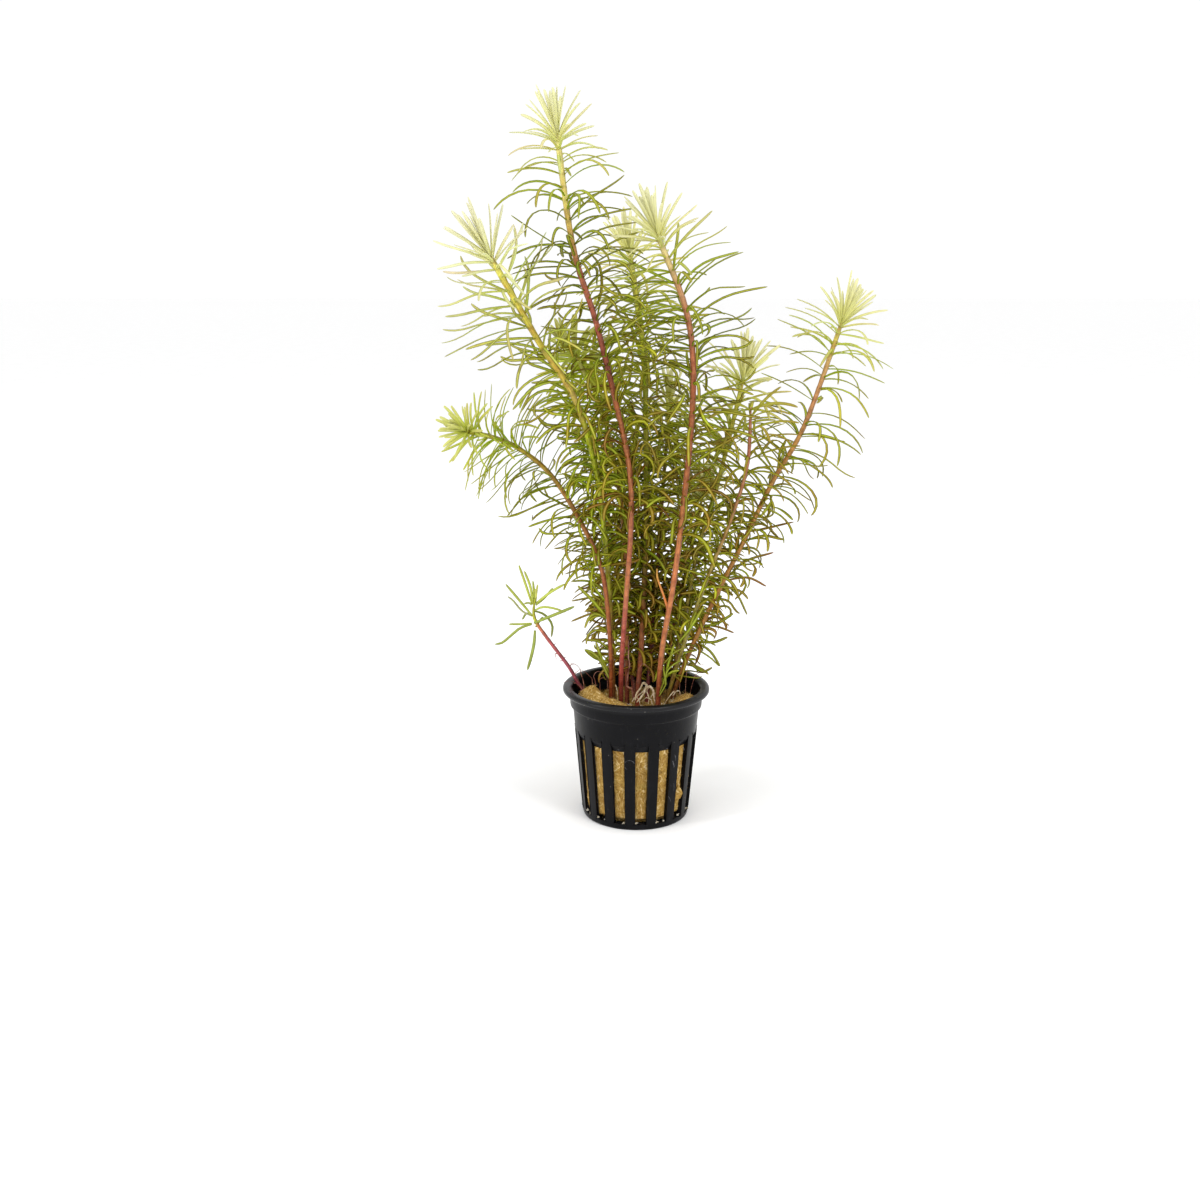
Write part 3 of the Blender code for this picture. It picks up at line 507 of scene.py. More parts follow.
class Look:
    """A material that is built up on its Principled shader."""

    def __init__(self, name):
        self.mat = bpy.data.materials.new(name)
        self.mat.use_nodes = True
        self.tree = self.mat.node_tree
        self.shader = self.tree.nodes["Principled BSDF"]
        self.where = self.node("ShaderNodeTexCoord", "Object")

    def put(self, socket, value):
        """Links a node's output to a socket, or sets the socket to a number, a grey or a colour code."""
        if isinstance(value, bpy.types.NodeSocket):
            self.tree.links.new(value, socket)
        elif isinstance(value, str):
            socket.default_value = (*linear(value), 1)
        elif socket.type == "RGBA":
            socket.default_value = (value, value, value, 1)
        else:
            socket.default_value = value

    def node(self, kind, output, inputs=None, **settings):
        """An output of a new node."""
        made = self.tree.nodes.new(kind)
        for key, value in settings.items():
            setattr(made, key, value)
        for key, value in (inputs or {}).items():
            self.put(made.inputs[key], value)
        return made.outputs[output]

    def stored(self, name, output):
        return self.node("ShaderNodeAttribute", output, attribute_name=name)

    def part(self, vector, letter):
        return self.node("ShaderNodeSeparateXYZ", letter, {"Vector": vector})

    def stretched(self, vector, scale, turn=(0, 0, 0)):
        return self.node("ShaderNodeMapping", "Vector", {"Vector": vector, "Scale": scale, "Rotation": turn})

    def fractal(self, scale, detail, rough=0.55, vector=None):
        return self.node("ShaderNodeTexNoise", "Fac", {"Vector": vector or self.where, "Scale": scale,
                                                       "Detail": detail, "Roughness": rough})

    def ramp(self, factor, stops):
        """A colour ramp with (position, colour code or grey) stops."""
        made = self.tree.nodes.new("ShaderNodeValToRGB")
        self.put(made.inputs["Fac"], factor)
        elements = made.color_ramp.elements
        while len(elements) < len(stops):
            elements.new(0.5)
        for element, (position, tone) in zip(elements, stops):
            element.position = position
            colour = linear(tone) if isinstance(tone, str) else (tone,) * 3
            element.color = (*colour, 1)
        return made.outputs["Color"]

    def mix(self, factor, a, b, blend="MIX"):
        return self.node("ShaderNodeMix", 2, {"Factor": factor, 6: a, 7: b}, data_type="RGBA",
                         blend_type=blend)

    def times(self, a, b):
        return self.node("ShaderNodeMath", "Value", {0: a, 1: b}, operation="MULTIPLY")

    def spread(self, value, low, high, new_low, new_high):
        return self.node("ShaderNodeMapRange", "Result", {"Value": value, "From Min": low, "From Max": high,
                                                          "To Min": new_low, "To Max": new_high})

    def finish(self, colour, rough, gloss, bump=None):
        """Fills the shader in. bump is height, strength and depth in metres."""
        for name, value in (("Base Color", colour), ("Roughness", rough), ("Specular IOR Level", gloss)):
            self.put(self.shader.inputs[name], value)
        if bump:
            inputs = dict(zip(("Height", "Strength", "Distance"), bump))
            self.put(self.shader.inputs["Normal"], self.node("ShaderNodeBump", "Normal", inputs))
        return self.mat


def leaf_material():
    """Thin living tissue: tinted along and across the leaf, a paler midrib that is a painted highlight,
    darker margins that are painted shade, light through the blade.
    """
    look = Look("leaf_blade")
    tint = look.stored("tint", "Color")
    place = look.stored("place", "Vector")
    across, age = look.part(place, "Y"), look.part(place, "Z")
    mottle, patches = look.fractal(450, 3), look.fractal(130, 2)
    mature = look.spread(age, 0, 0.4, 0.3, 1)
    mottled = look.mix(1, tint, look.ramp(mottle, ((0.3, 0.84), (0.5, 1), (0.7, 1.14))), "MULTIPLY")
    colour = look.mix(mature, tint, mottled)
    bronzed = look.mix(1, colour, "e0a060", "MULTIPLY")
    colour = look.mix(look.times(look.spread(patches, 0.48, 0.68, 0, 0.8), age), colour, bronzed)
    # Painted highlight: paler along the midrib of grown leaves
    midrib = look.times(look.spread(across, 0, 0.3, 0.6, 0), mature)
    colour = look.mix(midrib, colour, look.mix(0.5, colour, "f0ee88"))
    # Painted shade: darker towards the margins of older leaves
    margin_shade = look.times(look.spread(across, 0.22, 0.5, 0, 1), look.spread(age, 0, 0.5, 0, 1))
    colour = look.mix(margin_shade, colour, look.mix(1, colour, "948a5a", "MULTIPLY"))
    look.finish(colour, look.spread(mottle, 0.3, 0.7, 0.38, 0.54), 0.08, (mottle, 0.2, 0.0001))
    lit = look.mix(look.spread(age, 0, 0.4, 0, 0.18), colour, "ccd010")
    glow = look.node("ShaderNodeBsdfTranslucent", "BSDF", {"Color": lit})
    both = look.node("ShaderNodeMixShader", "Shader", {"Fac": 0.36, 1: look.shader.outputs["BSDF"], 2: glow})
    look.put(look.tree.nodes["Material Output"].inputs["Surface"], both)
    return look.mat


def stem_material():
    """A smooth, slightly waxy stem with long streaks and blotches. place is distance, angle and seed."""
    look = Look("stem_skin")
    tint = look.stored("tint", "Color")
    streaks = look.fractal(2.2, 4, vector=look.stretched(look.stored("place", "Vector"), (0.09, 1.6, 1)))
    blotches, fine = look.fractal(260, 3), look.fractal(1500, 2)
    colour = look.mix(1, tint, look.ramp(streaks, ((0.3, 0.52), (0.5, 1), (0.7, 1.34))), "MULTIPLY")
    ruddy = look.mix(1, colour, "d88060", "MULTIPLY")
    colour = look.mix(look.spread(blotches, 0.5, 0.7, 0, 0.42), colour, ruddy)
    colour = look.mix(look.spread(fine, 0.55, 0.75, 0, 0.25), colour, "e4b070")
    return look.finish(colour, look.spread(fine, 0.3, 0.7, 0.26, 0.44), 0.35,
                       (look.mix(0.4, streaks, fine), 0.5, 0.00015))


def pot_material():
    """Black moulded plastic with a faint grain, smudges, dried water marks and dust. The rim is glossier."""
    look = Look("pot_black_plastic")
    grain, smudge = look.fractal(2600, 2), look.fractal(90, 5, 0.6)
    scratches = look.fractal(1400, 3, 0.65, look.stretched(look.where, (1, 1, 0.12)))
    specks = look.node("ShaderNodeTexVoronoi", "Distance", {"Vector": look.where, "Scale": 330})
    dust = look.mix(1, look.ramp(specks, ((0, 1), (0.09, 0))), look.ramp(smudge, ((0.52, 0), (0.62, 1))),
                    "MULTIPLY")
    colour = look.ramp(smudge, ((0.3, "060608"), (0.55, "09090c"), (0.75, "121216")))
    colour = look.mix(look.spread(scratches, 0.62, 0.8, 0, 0.3), colour, "46464a")
    colour = look.mix(dust, colour, "8c887e")
    gloss = look.spread(look.part(look.where, "Z"), 0.0458, 0.0475, 0.11, 0.25)
    return look.finish(colour, look.spread(smudge, 0.3, 0.7, 0.24, 0.42), gloss,
                       (look.mix(0.5, grain, scratches), 0.3, 0.0001))


def wool_material():
    """Damp mineral wool: matted golden fibres, darker where it is wet, a little green."""
    look = Look("golden_stone_wool")
    wander = look.node("ShaderNodeTexNoise", "Color", {"Vector": look.where, "Scale": 120, "Detail": 2})
    bent = look.mix(0.012, look.where, wander, "ADD")
    fibres = look.fractal(1300, 5, 0.7, look.stretched(bent, (1, 1, 0.22)))
    crossing = look.fractal(1500, 5, 0.7, look.stretched(bent, (0.25, 0.25, 1), (0.5, 0.4, 0.7)))
    damp, green = look.fractal(140, 3), look.fractal(90, 2)
    colour = look.ramp(fibres, ((0.29, "4c320c"), (0.42, "906b2c"), (0.55, "b89448"), (0.67, "eed8a6")))
    colour = look.mix(look.spread(crossing, 0.5, 0.72, 0, 0.6), colour, "ceac66")
    colour = look.mix(look.spread(damp, 0.46, 0.68, 0, 0.45), colour, "845c24")
    colour = look.mix(look.spread(green, 0.6, 0.75, 0, 0.3), colour, "84782c")
    return look.finish(colour, 0.85, 0.25, (look.mix(0.5, fibres, crossing), 1, 0.0006))


def strand_material(name, dark, middle, pale, rough, scale=500):
    """Thin dry strands: roots, dead runners, loose fibres."""
    look = Look(name)
    tone = look.fractal(scale, 3)
    return look.finish(look.ramp(tone, ((0.3, dark), (0.5, middle), (0.7, pale))),
                       look.spread(tone, 0.3, 0.7, rough - 0.1, rough + 0.1), 0.3, (tone, 0.4, 0.0001))


def floor_material():
    look = Look("studio_floor")
    return look.finish(look.ramp(look.fractal(30, 3), ((0.3, 0.95), (0.7, 0.98))), 0.7, 0.1)


# Stems and leaves

def whorl_places(stem, axis, rng):
    """Whorls as (distance below the growing tip, number of leaves), from the tip down."""
    places = list(stem.whorls)
    while axis.length - places[-1][0] - stem.spacing > stem.leafless:
        # The back stems are fuller near their feet
        fuller = stem.name.startswith("stem_back") and axis.length - places[-1][0] < 52
        step = stem.spacing * (0.66 if fuller else 1)
        places.append((places[-1][0] + step * rng.uniform(0.88, 1.12), stem.leaves))
    return places


def stem_radius(stem, axis, s):
    """Radius of the bare stem. It narrows quickly in the last few millimetres of the crown."""
    share = np.clip(np.asarray(s, float) / axis.length, 0, 1)
    radius = stem.base_radius + (stem.tip_radius - stem.base_radius) * share
    return radius * (0.45 + 0.55 * smooth((axis.length - s) / 9))


def habit_at(stem, below):
    """Angles at the root and at the tip and lengths of leaves so far below the growing tip."""
    columns = list(zip(*HABIT))
    if stem.whorls is TOPPED_WHORLS:
        below = below + 9
    base, tip, length = (np.interp(below, columns[0], column) for column in columns[1:])
    if stem.whorls is SMALL_WHORLS:
        length = length * np.interp(below, (0, 14), (0.55, 1))
    droop = np.interp(below, (40, 100), (stem.droop, 1.2))
    scale = np.interp(below, (30, 100), stem.scale)
    return np.radians(base), np.radians(base + (tip - base) * droop), length * scale


def leaf_lines(root, tangent, out, base, tip, curl, length, sway, wave):
    """Centre lines of many leaves, and the direction and width direction at each station."""
    middle = (LEAF_STATIONS[1:] + LEAF_STATIONS[:-1]) / 2
    theta = (base[:, None] + (tip - base)[:, None] * middle ** 1.25
             - curl[:, None] * np.clip((middle - 0.6) / 0.4, 0, 1) ** 1.4)
    phi = sway[:, None] * middle ** 1.5 + wave[:, None] * np.sin(4.4 * middle)
    side = np.cross(tangent, out)
    direction = swing(theta, tangent[:, None], swing(phi, out[:, None], side[:, None]))
    steps = direction * (np.diff(LEAF_STATIONS)[None, :, None] * length[:, None, None])
    points = np.concatenate([root[:, None], root[:, None] + np.cumsum(steps, axis=1)], axis=1)
    ends = np.concatenate([direction[:, :1], direction, direction[:, -1:]], axis=1)
    heading = unit((ends[:, 1:] + ends[:, :-1]))
    across = swing(phi, side[:, None], -out[:, None])
    across = np.concatenate([across[:, :1], across], axis=1)
    across = unit(across - heading * (across * heading).sum(-1, keepdims=True))
    return points, heading, across


def leaf_blades(points, heading, across, width, roll, twist):
    """Surface points of many leaves, each a grooved and keeled blade round its centre line."""
    up = np.cross(heading, across)
    turn = roll[:, None] + twist[:, None] * LEAF_STATIONS
    across, up = swing(turn, across, up), swing(turn, up, -across)
    widths = width[:, None] * LEAF_WIDTHS[None]
    return (points[:, :, None]
            + (widths[..., None] * LEAF_SECTION[:, 0])[..., None] * across[:, :, None]
            + (widths[..., None] * LEAF_SECTION[:, 1])[..., None] * up[:, :, None])


def blade_faces():
    rows, k = len(LEAF_STATIONS), len(LEAF_SECTION)
    faces = [(i * k + j, (i + 1) * k + j, (i + 1) * k + (j + 1) % k, i * k + (j + 1) % k)
             for i in range(rows - 1) for j in range(k)]
    return faces + [tuple(range(k)), tuple((rows - 1) * k + j for j in reversed(range(k)))]


class Obstacles:
    """Points on all stems, with how far a leaf has to stay from each."""

    def __init__(self, axes):
        self.points, self.reach, self.owner = [], [], []
        for stem in STEMS:
            axis = axes[stem.name]
            radii = stem_radius(stem, axis, axis.stations)
            for point, radius, s in zip(axis.points, radii, axis.stations):
                self.add(point, radius + STEM_GAP, stem.name)
                reach, half, below = CLEAR_AHEAD.get(stem.name, (0, 0, 0))
                if s < axis.length - below and (s > CLEAR_FROM or reach == LONG_VIEW):
                    for ahead in range(3, reach + 1, 3):
                        self.add(point + unit(FRONT_EYE - point) * ahead, half, stem.name)
        self.trees = {}

    def add(self, point, reach, owner):
        self.points.append(point)
        self.reach.append(reach)
        self.owner.append(owner)

    def tree_without(self, name):
        """A search tree of all points but the stem's own."""
        if name not in self.trees:
            keep = [i for i, owner in enumerate(self.owner) if owner != name]
            tree = kdtree.KDTree(len(keep))
            for i in keep:
                tree.insert(self.points[i], i)
            tree.balance()
            self.trees[name] = tree
        return self.trees[name]

    def blocked(self, name, lines):
        """For each leaf, whether it comes too near another stem."""
        tree = self.tree_without(name)

        def hit(point):
            _, i, distance = tree.find(point)
            return distance < self.reach[i]

        return np.array([any(hit(point) for point in line[1:]) for line in lines])


def off_the_pot(lines):
    """For each leaf, whether it would touch the pot's rim or the wool."""
    inside = np.hypot(lines[..., 0], lines[..., 1]) < WOOL_REACH
    return (lines[..., 2] < np.where(inside, OVER_WOOL, OVER_RIM)).any(axis=1)


def leaf_roots(stem, axis, rng):
    """Distances below the growing tip and angles round the stem of all its leaves."""
    below, azimuth = [], []
    for number, (place, count) in enumerate(whorl_places(stem, axis, rng)):
        if number > 3:
            count += int(rng.integers(-1, 2))
        turn = number * 0.45 + rng.uniform(-0.12, 0.12)
        for k in range(count):
            if number > 8 and rng.random() < 0.03:
                continue
            below.append(max(0.1, place + rng.normal(0, 0.45 if number > 6 else 0.08)))
            azimuth.append(turn + math.tau * k / count + rng.normal(0, 0.08 if number < 6 else 0.17))
    return np.array(below), np.array(azimuth)


def leaf_tints(stem, rng, below, curled, grown, bent):
    """A colour for each station of each leaf. Some old ones are brown, and some of the bent ones pale."""
    tones = LEAF_TONES[stem.tones]
    total = len(below)
    root_tint = along_colours([(t[0], t[1]) for t in tones], below)
    tip_tint = along_colours([(t[0], t[2]) for t in tones], below)
    shade = 1.02 + rng.normal(0, 0.1, (total, 1)) * (0.3 + 1.1 * curled[:, None])
    shade = shade + rng.normal(0, 0.035, (total, 3)) * grown[:, None]
    share = smooth(LEAF_STATIONS * 1.1 - 0.05)[None, :, None]
    tint = root_tint[:, None] * (1 - share) + tip_tint[:, None] * share
    aged = rng.random(total)[:, None, None]
    brown = aged < BROWN_LEAVES * smooth((below - 50) / 60)[:, None, None]
    tint = np.where(brown, tint * 0.3 + linear("944c14") * 0.7, tint)
    pale = aged > 1 - PALE_LEAVES * bent[:, None, None]
    tint = np.where(pale, tint * 0.4 + linear("b6c414") * 0.6, tint)
    return np.clip(tint * shade[:, None], 0.001, 0.95)


def leaf_grid(age):
    """The stored place of each point of one leaf: along it, off its midrib, and its age."""
    return stored_places(LEAF_STATIONS[:, None], np.abs(LEAF_SECTION[:, 0]), age)


def grow_leaves(stem, axis, obstacles, seed):
    rng = np.random.default_rng(seed)
    below, azimuth = leaf_roots(stem, axis, rng)
    total = len(below)
    base, tip, length = habit_at(stem, below)
    grown = smooth(below / 10)
    s = axis.length - below
    point, tangent, side, other = axis.at(s)
    out = swing(azimuth, side, other)
    forward = -out[:, 1]
    low = smooth((95 - point[:, 2]) / 35)
    # Leaves get more unruly further down, and those towards the front hang
    old = smooth((below - 20) / 80)
    curled = smooth((below - 12) / 50)
    base = base + rng.normal(0, 1, total) * np.radians(2 + 5 * grown + 7 * old)
    tip = tip + rng.normal(0, 1, total) * np.radians(3 + 12 * grown + 26 * old)
    tip = tip + np.radians(65) * np.clip(forward, 0, 1) * grown
    curl = np.radians(stem.curl) * grown * rng.uniform(0.3, 1.3, total) + rng.normal(0, 0.7, total) * curled
    # A few stand up straight
    stray = rng.random(total) < 0.07 * grown
    base, tip = np.where(stray, base - 0.35, base), np.where(stray, tip - 0.85, tip)
    length = length * (1 + rng.normal(0, 0.08, total)) * np.where(rng.random(total) < 0.06, 0.7, 1)
    length *= 1 - 0.2 * low * rng.random(total)
    sway = rng.normal(0, 1, total) * (0.05 + 0.24 * grown + 0.42 * old)
    wave = rng.normal(0, 0.6 if stem.whorls is SMALL_WHORLS else 0.36, total) * curled
    twist = rng.normal(0, 1, total) * (0.05 + 0.15 * grown + 0.4 * old)
    # Their faces turn a little to the light in front
    roll = 0.5 * np.cross(tangent, out)[:, 1] + rng.normal(0, 0.25, total)
    width = stem.width * rng.normal(1, 0.07, total) * (1.1 - 0.26 * grown + 0.16 * old + 0.06 * low)
    # Few leaves stand in front of the stems, and the lower whorls lost some
    keep = (forward < 0.8) | (rng.random(total) < 0.5) | (below < 8)
    start, share = stem.thin
    kept = 1 - (1 - share) * smooth((below - start) / 45)
    for name, direction, nearest, furthest, sparse in SPARSE_SIDES:
        if name == stem.name:
            there = (out @ np.array(direction) > 0.25) & (below > nearest) & (below < furthest)
            kept = np.where(there, kept * sparse, kept)
    keep &= rng.random(total) < kept * (1 - 0.12 * low)
    # The stems' feet show between the leaves behind them
    keep &= (point[:, 2] > 68) | (forward < 0.2) | (rng.random(total) < 0.25)
    lines, heading, across = (np.empty((total, len(LEAF_STATIONS), 3)) for _ in range(3))
    pending = np.arange(total)
    # What is still in the way after the last try is left out
    for attempt in range(TRIES):
        out = swing(azimuth, side, other)
        root = point + 0.7 * stem_radius(stem, axis, s)[:, None] * out
        traits = (root, tangent, out, base, tip, curl, length, sway, wave)
        made = leaf_lines(*(trait[pending] for trait in traits))
        lines[pending], heading[pending], across[pending] = made
        pending = pending[obstacles.blocked(stem.name, made[0]) | off_the_pot(made[0])]
        if not len(pending):
            break
        if attempt < TURNS:
            sway[pending] = rng.normal(0, 0.4, len(pending))
            azimuth[pending] += rng.normal(0, 0.25, len(pending))
            tip[pending] -= np.radians(8)
        else:
            length[pending] *= 0.72
    keep[pending] = False
    blades = leaf_blades(lines, heading, across, width, roll, twist)
    tint = leaf_tints(stem, rng, below, curled, grown, np.maximum(old, low))
    age = smooth((below - 6) / 60)
    builder, faces = Builder(), blade_faces()
    for i in np.flatnonzero(keep):
        builder.add(blades[i], faces, np.repeat(tint[i], len(LEAF_SECTION), axis=0), leaf_grid(age[i]))
    for broad, root_tone, tip_tone, route in LOW_LEAVES.get(stem.name, ()):
        add_placed_leaf(builder, route, LOW_LEAF_WIDTH * broad, linear(root_tone), linear(tip_tone), 0.35,
                        rng.normal(0, 0.25))
    return builder


def add_placed_leaf(builder, route, width, root_tint, tip_tint, age, twist):
    """One leaf along a route, its face towards the front and up."""
    line = Axis(route, 0.5)
    points, heading, _, _ = line.at(LEAF_STATIONS * line.length)
    across = unit(np.cross(heading, np.array([0.1, -1.0, 0.5])))
    blade = leaf_blades(points[None], heading[None], across[None], np.array([width]), np.zeros(1),
                        np.array([twist]))[0]
    share = smooth(LEAF_STATIONS * 1.6 - 0.75)[:, None]
    tint = root_tint * (1 - share) + tip_tint * share
    builder.add(blade, blade_faces(), np.repeat(tint, len(LEAF_SECTION), axis=0), leaf_grid(age))


def shoot_leaves(seed):
    rng = np.random.default_rng(seed)
    builder = Builder()
    node_at = np.array(SHOOT_NODE)
    for width, shade, route in SHOOT_LEAVES:
        tint = linear(shade) * 1.2 * (1 + rng.normal(0, 0.06)) * 0.86 + linear("f0f0dc") * 0.14
        add_placed_leaf(builder, [node_at + np.array(p) for p in route], width * SHOOT_LEAF_WIDTH, tint,
                        tint * 0.8, 0.15, rng.normal(0, 0.25))
    return builder


def stem_skin(stem, axis, seed):
    """The stem's tube, swollen and ridged at each whorl, with a colour for each point."""
    rng = np.random.default_rng(seed)
    sides = 14
    s = np.append(np.arange(0, axis.length, 0.6), axis.length)
    angles = round_angles(sides)
    radii = stem_radius(stem, axis, s)[:, None] * np.ones((1, sides))
    nodes = [axis.length - place for place, _ in whorl_places(stem, axis, np.random.default_rng(seed))]
    nodes += list(np.arange(min(nodes) - stem.spacing, 6, -stem.spacing * 1.15))
    swell = np.zeros((len(s), sides))
    for number, place in enumerate(nodes):
        ridge = 0.5 + 0.5 * np.cos(stem.leaves * angles + number * 1.3)
        reach = np.exp(-((s - place) / 0.7) ** 2)
        below = np.exp(-((s - place + 1.2) / 1.3) ** 2)
        swell += reach[:, None] * 0.1 + (below[:, None] * ridge[None]) * 0.07
    radii = radii * (1 + swell) * (1 + 0.02 * rng.normal(0, 1, (1, sides)))
    points, faces = tube(axis, s, radii, sides)
    colours = along_colours(stem.bark, axis.length - s)[:, None] * np.ones((1, sides, 1))
    # Painted highlight and shade: paler along its front and back, darker along the flanks, most of all near
    # the wool
    point, _, side, other = axis.at(s)
    outward = swing(angles, side[:, None], other[:, None])
    painted_front_light = np.abs(outward @ np.array([-0.3, -0.95, 0])) ** 1.5
    feet = smooth((80 - point[:, 2]) / 25)[:, None]
    colours = colours * (0.62 - 0.14 * feet + (0.58 + 0.12 * feet) * painted_front_light)[..., None]
    # Darker and deep red towards the wool, still paler along the front there as painted highlight
    foot = smooth((57 - point[:, 2]) / 11)[:, None, None]
    colours = colours * (1 - 0.55 * foot) + linear("5c1c1c") * 0.45 * foot * (0.5 + 0.6 * painted_front_light[..., None])
    ring = np.clip(swell / 0.15, 0, 1)[..., None]
    colours = colours * (1 - 0.45 * ring) + linear("5c2c14") * 0.35 * ring
    colours *= 1 + 0.08 * rng.normal(0, 1, (len(s), 1, 1))
    builder = Builder()
    builder.add(points, faces, np.clip(colours, 0.001, 0.95).reshape(-1, 3),
                stored_places(s[:, None], np.abs(angles - math.pi), seed))
    return builder


def add_stubs(builder, axis, seed):
    """Short remains of leaves along the side shoot's bare stem."""
    rng = np.random.default_rng(seed)
    for s in np.arange(12, axis.length - 20, 3.4):
        for _ in range(2):
            angle = rng.uniform(0, math.tau)
            point, tangent, side, other = axis.at(s)
            out = math.cos(angle) * side + math.sin(angle) * other
            length = rng.uniform(0.8, 2.6)
            route = [point + 0.4 * out, point + 0.4 * out + length * 0.5 * (out + 0.6 * tangent),
                     point + 0.4 * out + length * (out + 0.1 * tangent + 0.3 * rng.normal(0, 1, 3))]
            builder.strand(route, 0.4, 6, lambda share: 0.22 * (1 - 0.75 * share), linear("9a5a52"),
                           (s, 0, seed))


def add_twig(builder, seed):
    twig = Axis(TWIG_ROUTE, 0.5)
    sides = 10
    points, faces = tube(twig, twig.stations, 0.5 - 0.22 * twig.share, sides)
    tints = along_colours(((0, "c0682c"), (0.6, "c8803c"), (1, "b89038")), np.repeat(twig.share, sides))
    places = stored_places(twig.stations[:, None], np.abs(round_angles(sides) - math.pi), seed)
    builder.add(points, faces, tints, places)


def make_plants():
    blade, skin = leaf_material(), stem_material()
    axes = {stem.name: Axis(stem.route) for stem in STEMS}
    obstacles = Obstacles(axes)
    for number, stem in enumerate(STEMS):
        axis = axes[stem.name]
        tag = stem.name.replace("stem_", "")
        stalk = stem_skin(stem, axis, 100 + number)
        if stem.name == "side_shoot":
            add_stubs(stalk, axis, 300 + number)
            leaves = shoot_leaves(200 + number)
        else:
            leaves = grow_leaves(stem, axis, obstacles, 200 + number)
        if stem.name == "stem_upper_right":
            add_twig(stalk, 300 + number)
        stalk.piece(tag + "_stalk", skin, [stem.name], stem.slot)
        leaves.piece(tag + "_leaves", blade, [stem.name], stem.slot)


# Pot

def column_angles(count, arc, in_opening, between):
    """Angles of a wall's columns of points: so many across each opening and so many between two."""
    period = math.tau / count
    columns = []
    for i in range(count):
        start = FIRST_SLOT + i * period - arc / 2
        columns += [start + arc * k / in_opening for k in range(in_opening)]
        columns += [start + arc + (period - arc) * k / between for k in range(between)]
    return columns


def turned(radius, z, columns):
    return [polar(radius, a, z) for a in columns]


def lathe_wall(profile, columns, skip):
    """A closed wall turned about Z from the profile of its section. skip(row, column) leaves a face out."""
    points = [point for radius, z in profile for point in turned(radius, z, columns)]
    rows, n = len(profile), len(columns)
    faces = []
    for i in range(rows):
        for j in range(n):
            if not skip(i, j):
                below, above = (i + 1) % rows * n, i * n
                faces.append((above + j, above + (j + 1) % n, below + (j + 1) % n, below + j))
    return points, faces


def body_radius(z):
    return BASE_RADIUS + (BODY_TOP_RADIUS - BASE_RADIUS) * z / (LEDGE_Z - 0.6)


def near(radius, steps):
    """Profile points given as (distance out from the radius, height)."""
    return [(radius + out, z) for out, z in steps]


def make_pot(mat):
    in_slot, in_rib = 6, 5
    columns = column_angles(SLOT_COUNT, SLOT_ARC, in_slot, in_rib)
    per, n = in_slot + in_rib, len(columns)
    body = [SLOT_BOTTOM, 3.0] + list(np.linspace(4, SLOT_TOP - 1.5, 12)) + [SLOT_TOP - 0.5]
    # The top of each slot slopes outwards and up, as the mould left it
    sloped = [z + 2.6 * max(0.0, (z - 20) / (SLOT_TOP - 20.5)) for z in body]
    rows = len(body)
    foot = near(BASE_RADIUS, ((-1.1, 0.35), (-0.75, 0), (-0.3, 0.1), (-0.05, 0.45)))
    foot.append((body_radius(1.0), 1.0))
    first_open = len(foot)
    wall = [(body_radius(z), z) for z in sloped + [34.4, 36, 38, 40.5, 41.6]]
    wall.append((body_radius(42.0) + 0.05, 42.0))
    collar = near(COLLAR_RADIUS, ((-0.55, 42.35), (-0.3, 42.6), (-0.22, 43), (-0.1, 45), (0, 47.1),
                                  (0.1, 47.45), (0.45, 47.62)))
    lip = near(RIM_RADIUS, ((-0.7, 47.66), (-0.3, 47.78), (-0.06, 48.1), (0, 48.6), (-0.1, 49.1),
                            (-0.4, 49.45), (-0.9, 49.64), (-1.5, 49.7)))
    lip += near(RIM_INNER_RADIUS, ((0.2, 49.62), (-0.35, 49.4), (-0.75, 49), (-1, 48.5)))
    inside = near(COLLAR_RADIUS - WALL, ((-0.05, 46), (-0.15, 43.4)))
    inside += near(BODY_TOP_RADIUS - WALL, ((0.4, 42.6), (0, 41.8)))
    inside += [(body_radius(z) - WALL, z) for z in (40.5, 38, 35, 32.2)]
    profile = foot + wall + collar + lip + inside
    inner_start = len(profile)
    profile += [(body_radius(z) - WALL, z) for z in body[::-1] + [1.6]]
    profile += [(BASE_RADIUS - WALL - 0.3, 1.2), (BASE_RADIUS - 2.0, 1.0)]

    def slot_face(row, column):
        on_outside = first_open <= row < first_open + rows - 1
        on_inside = inner_start <= row < inner_start + rows - 1
        return column % per < in_slot and (on_outside or on_inside)

    def outer(k, j):
        return (first_open + k) * n + j % n

    def inner(k, j):
        return (inner_start + rows - 1 - k) * n + j % n

    points, faces = lathe_wall(profile, columns, slot_face)
    for left in range(0, n, per):
        right = left + in_slot
        for k in range(rows - 1):
            for j, low, high in ((left, k, k + 1), (right, k + 1, k)):
                faces.append((outer(low, j), outer(high, j), inner(high, j), inner(low, j)))
        for j in range(left, right):
            for k, a, b in ((0, j, j + 1), (rows - 1, j + 1, j)):
                faces.append((outer(k, a), inner(k, a), inner(k, b), outer(k, b)))
    points = np.array(points)
    # The moulding is a little out of round
    angle = np.arctan2(points[:, 1], points[:, 0])
    lift = np.clip(points[:, 2] / POT_HEIGHT, 0, 1)
    swell = 1 - 0.0035 * lift * (1 + np.cos(2 * angle + 0.7)) / 2 - 0.002 * lift * (1 + np.cos(5 * angle)) / 2
    points[:, :2] *= swell[:, None]
    builder = Builder()
    builder.add(points, faces)
    add_base_plate(builder)
    pot = builder.piece("pot_shell", mat, ["net_pot"], "pot_plastic", sharp=math.radians(50))
    bevel = pot.modifiers.new("soft_edges", "BEVEL")
    bevel.width = 0.22 * MM
    bevel.segments = 2
    bevel.limit_method = "ANGLE"
    bevel.angle_limit = math.radians(55)


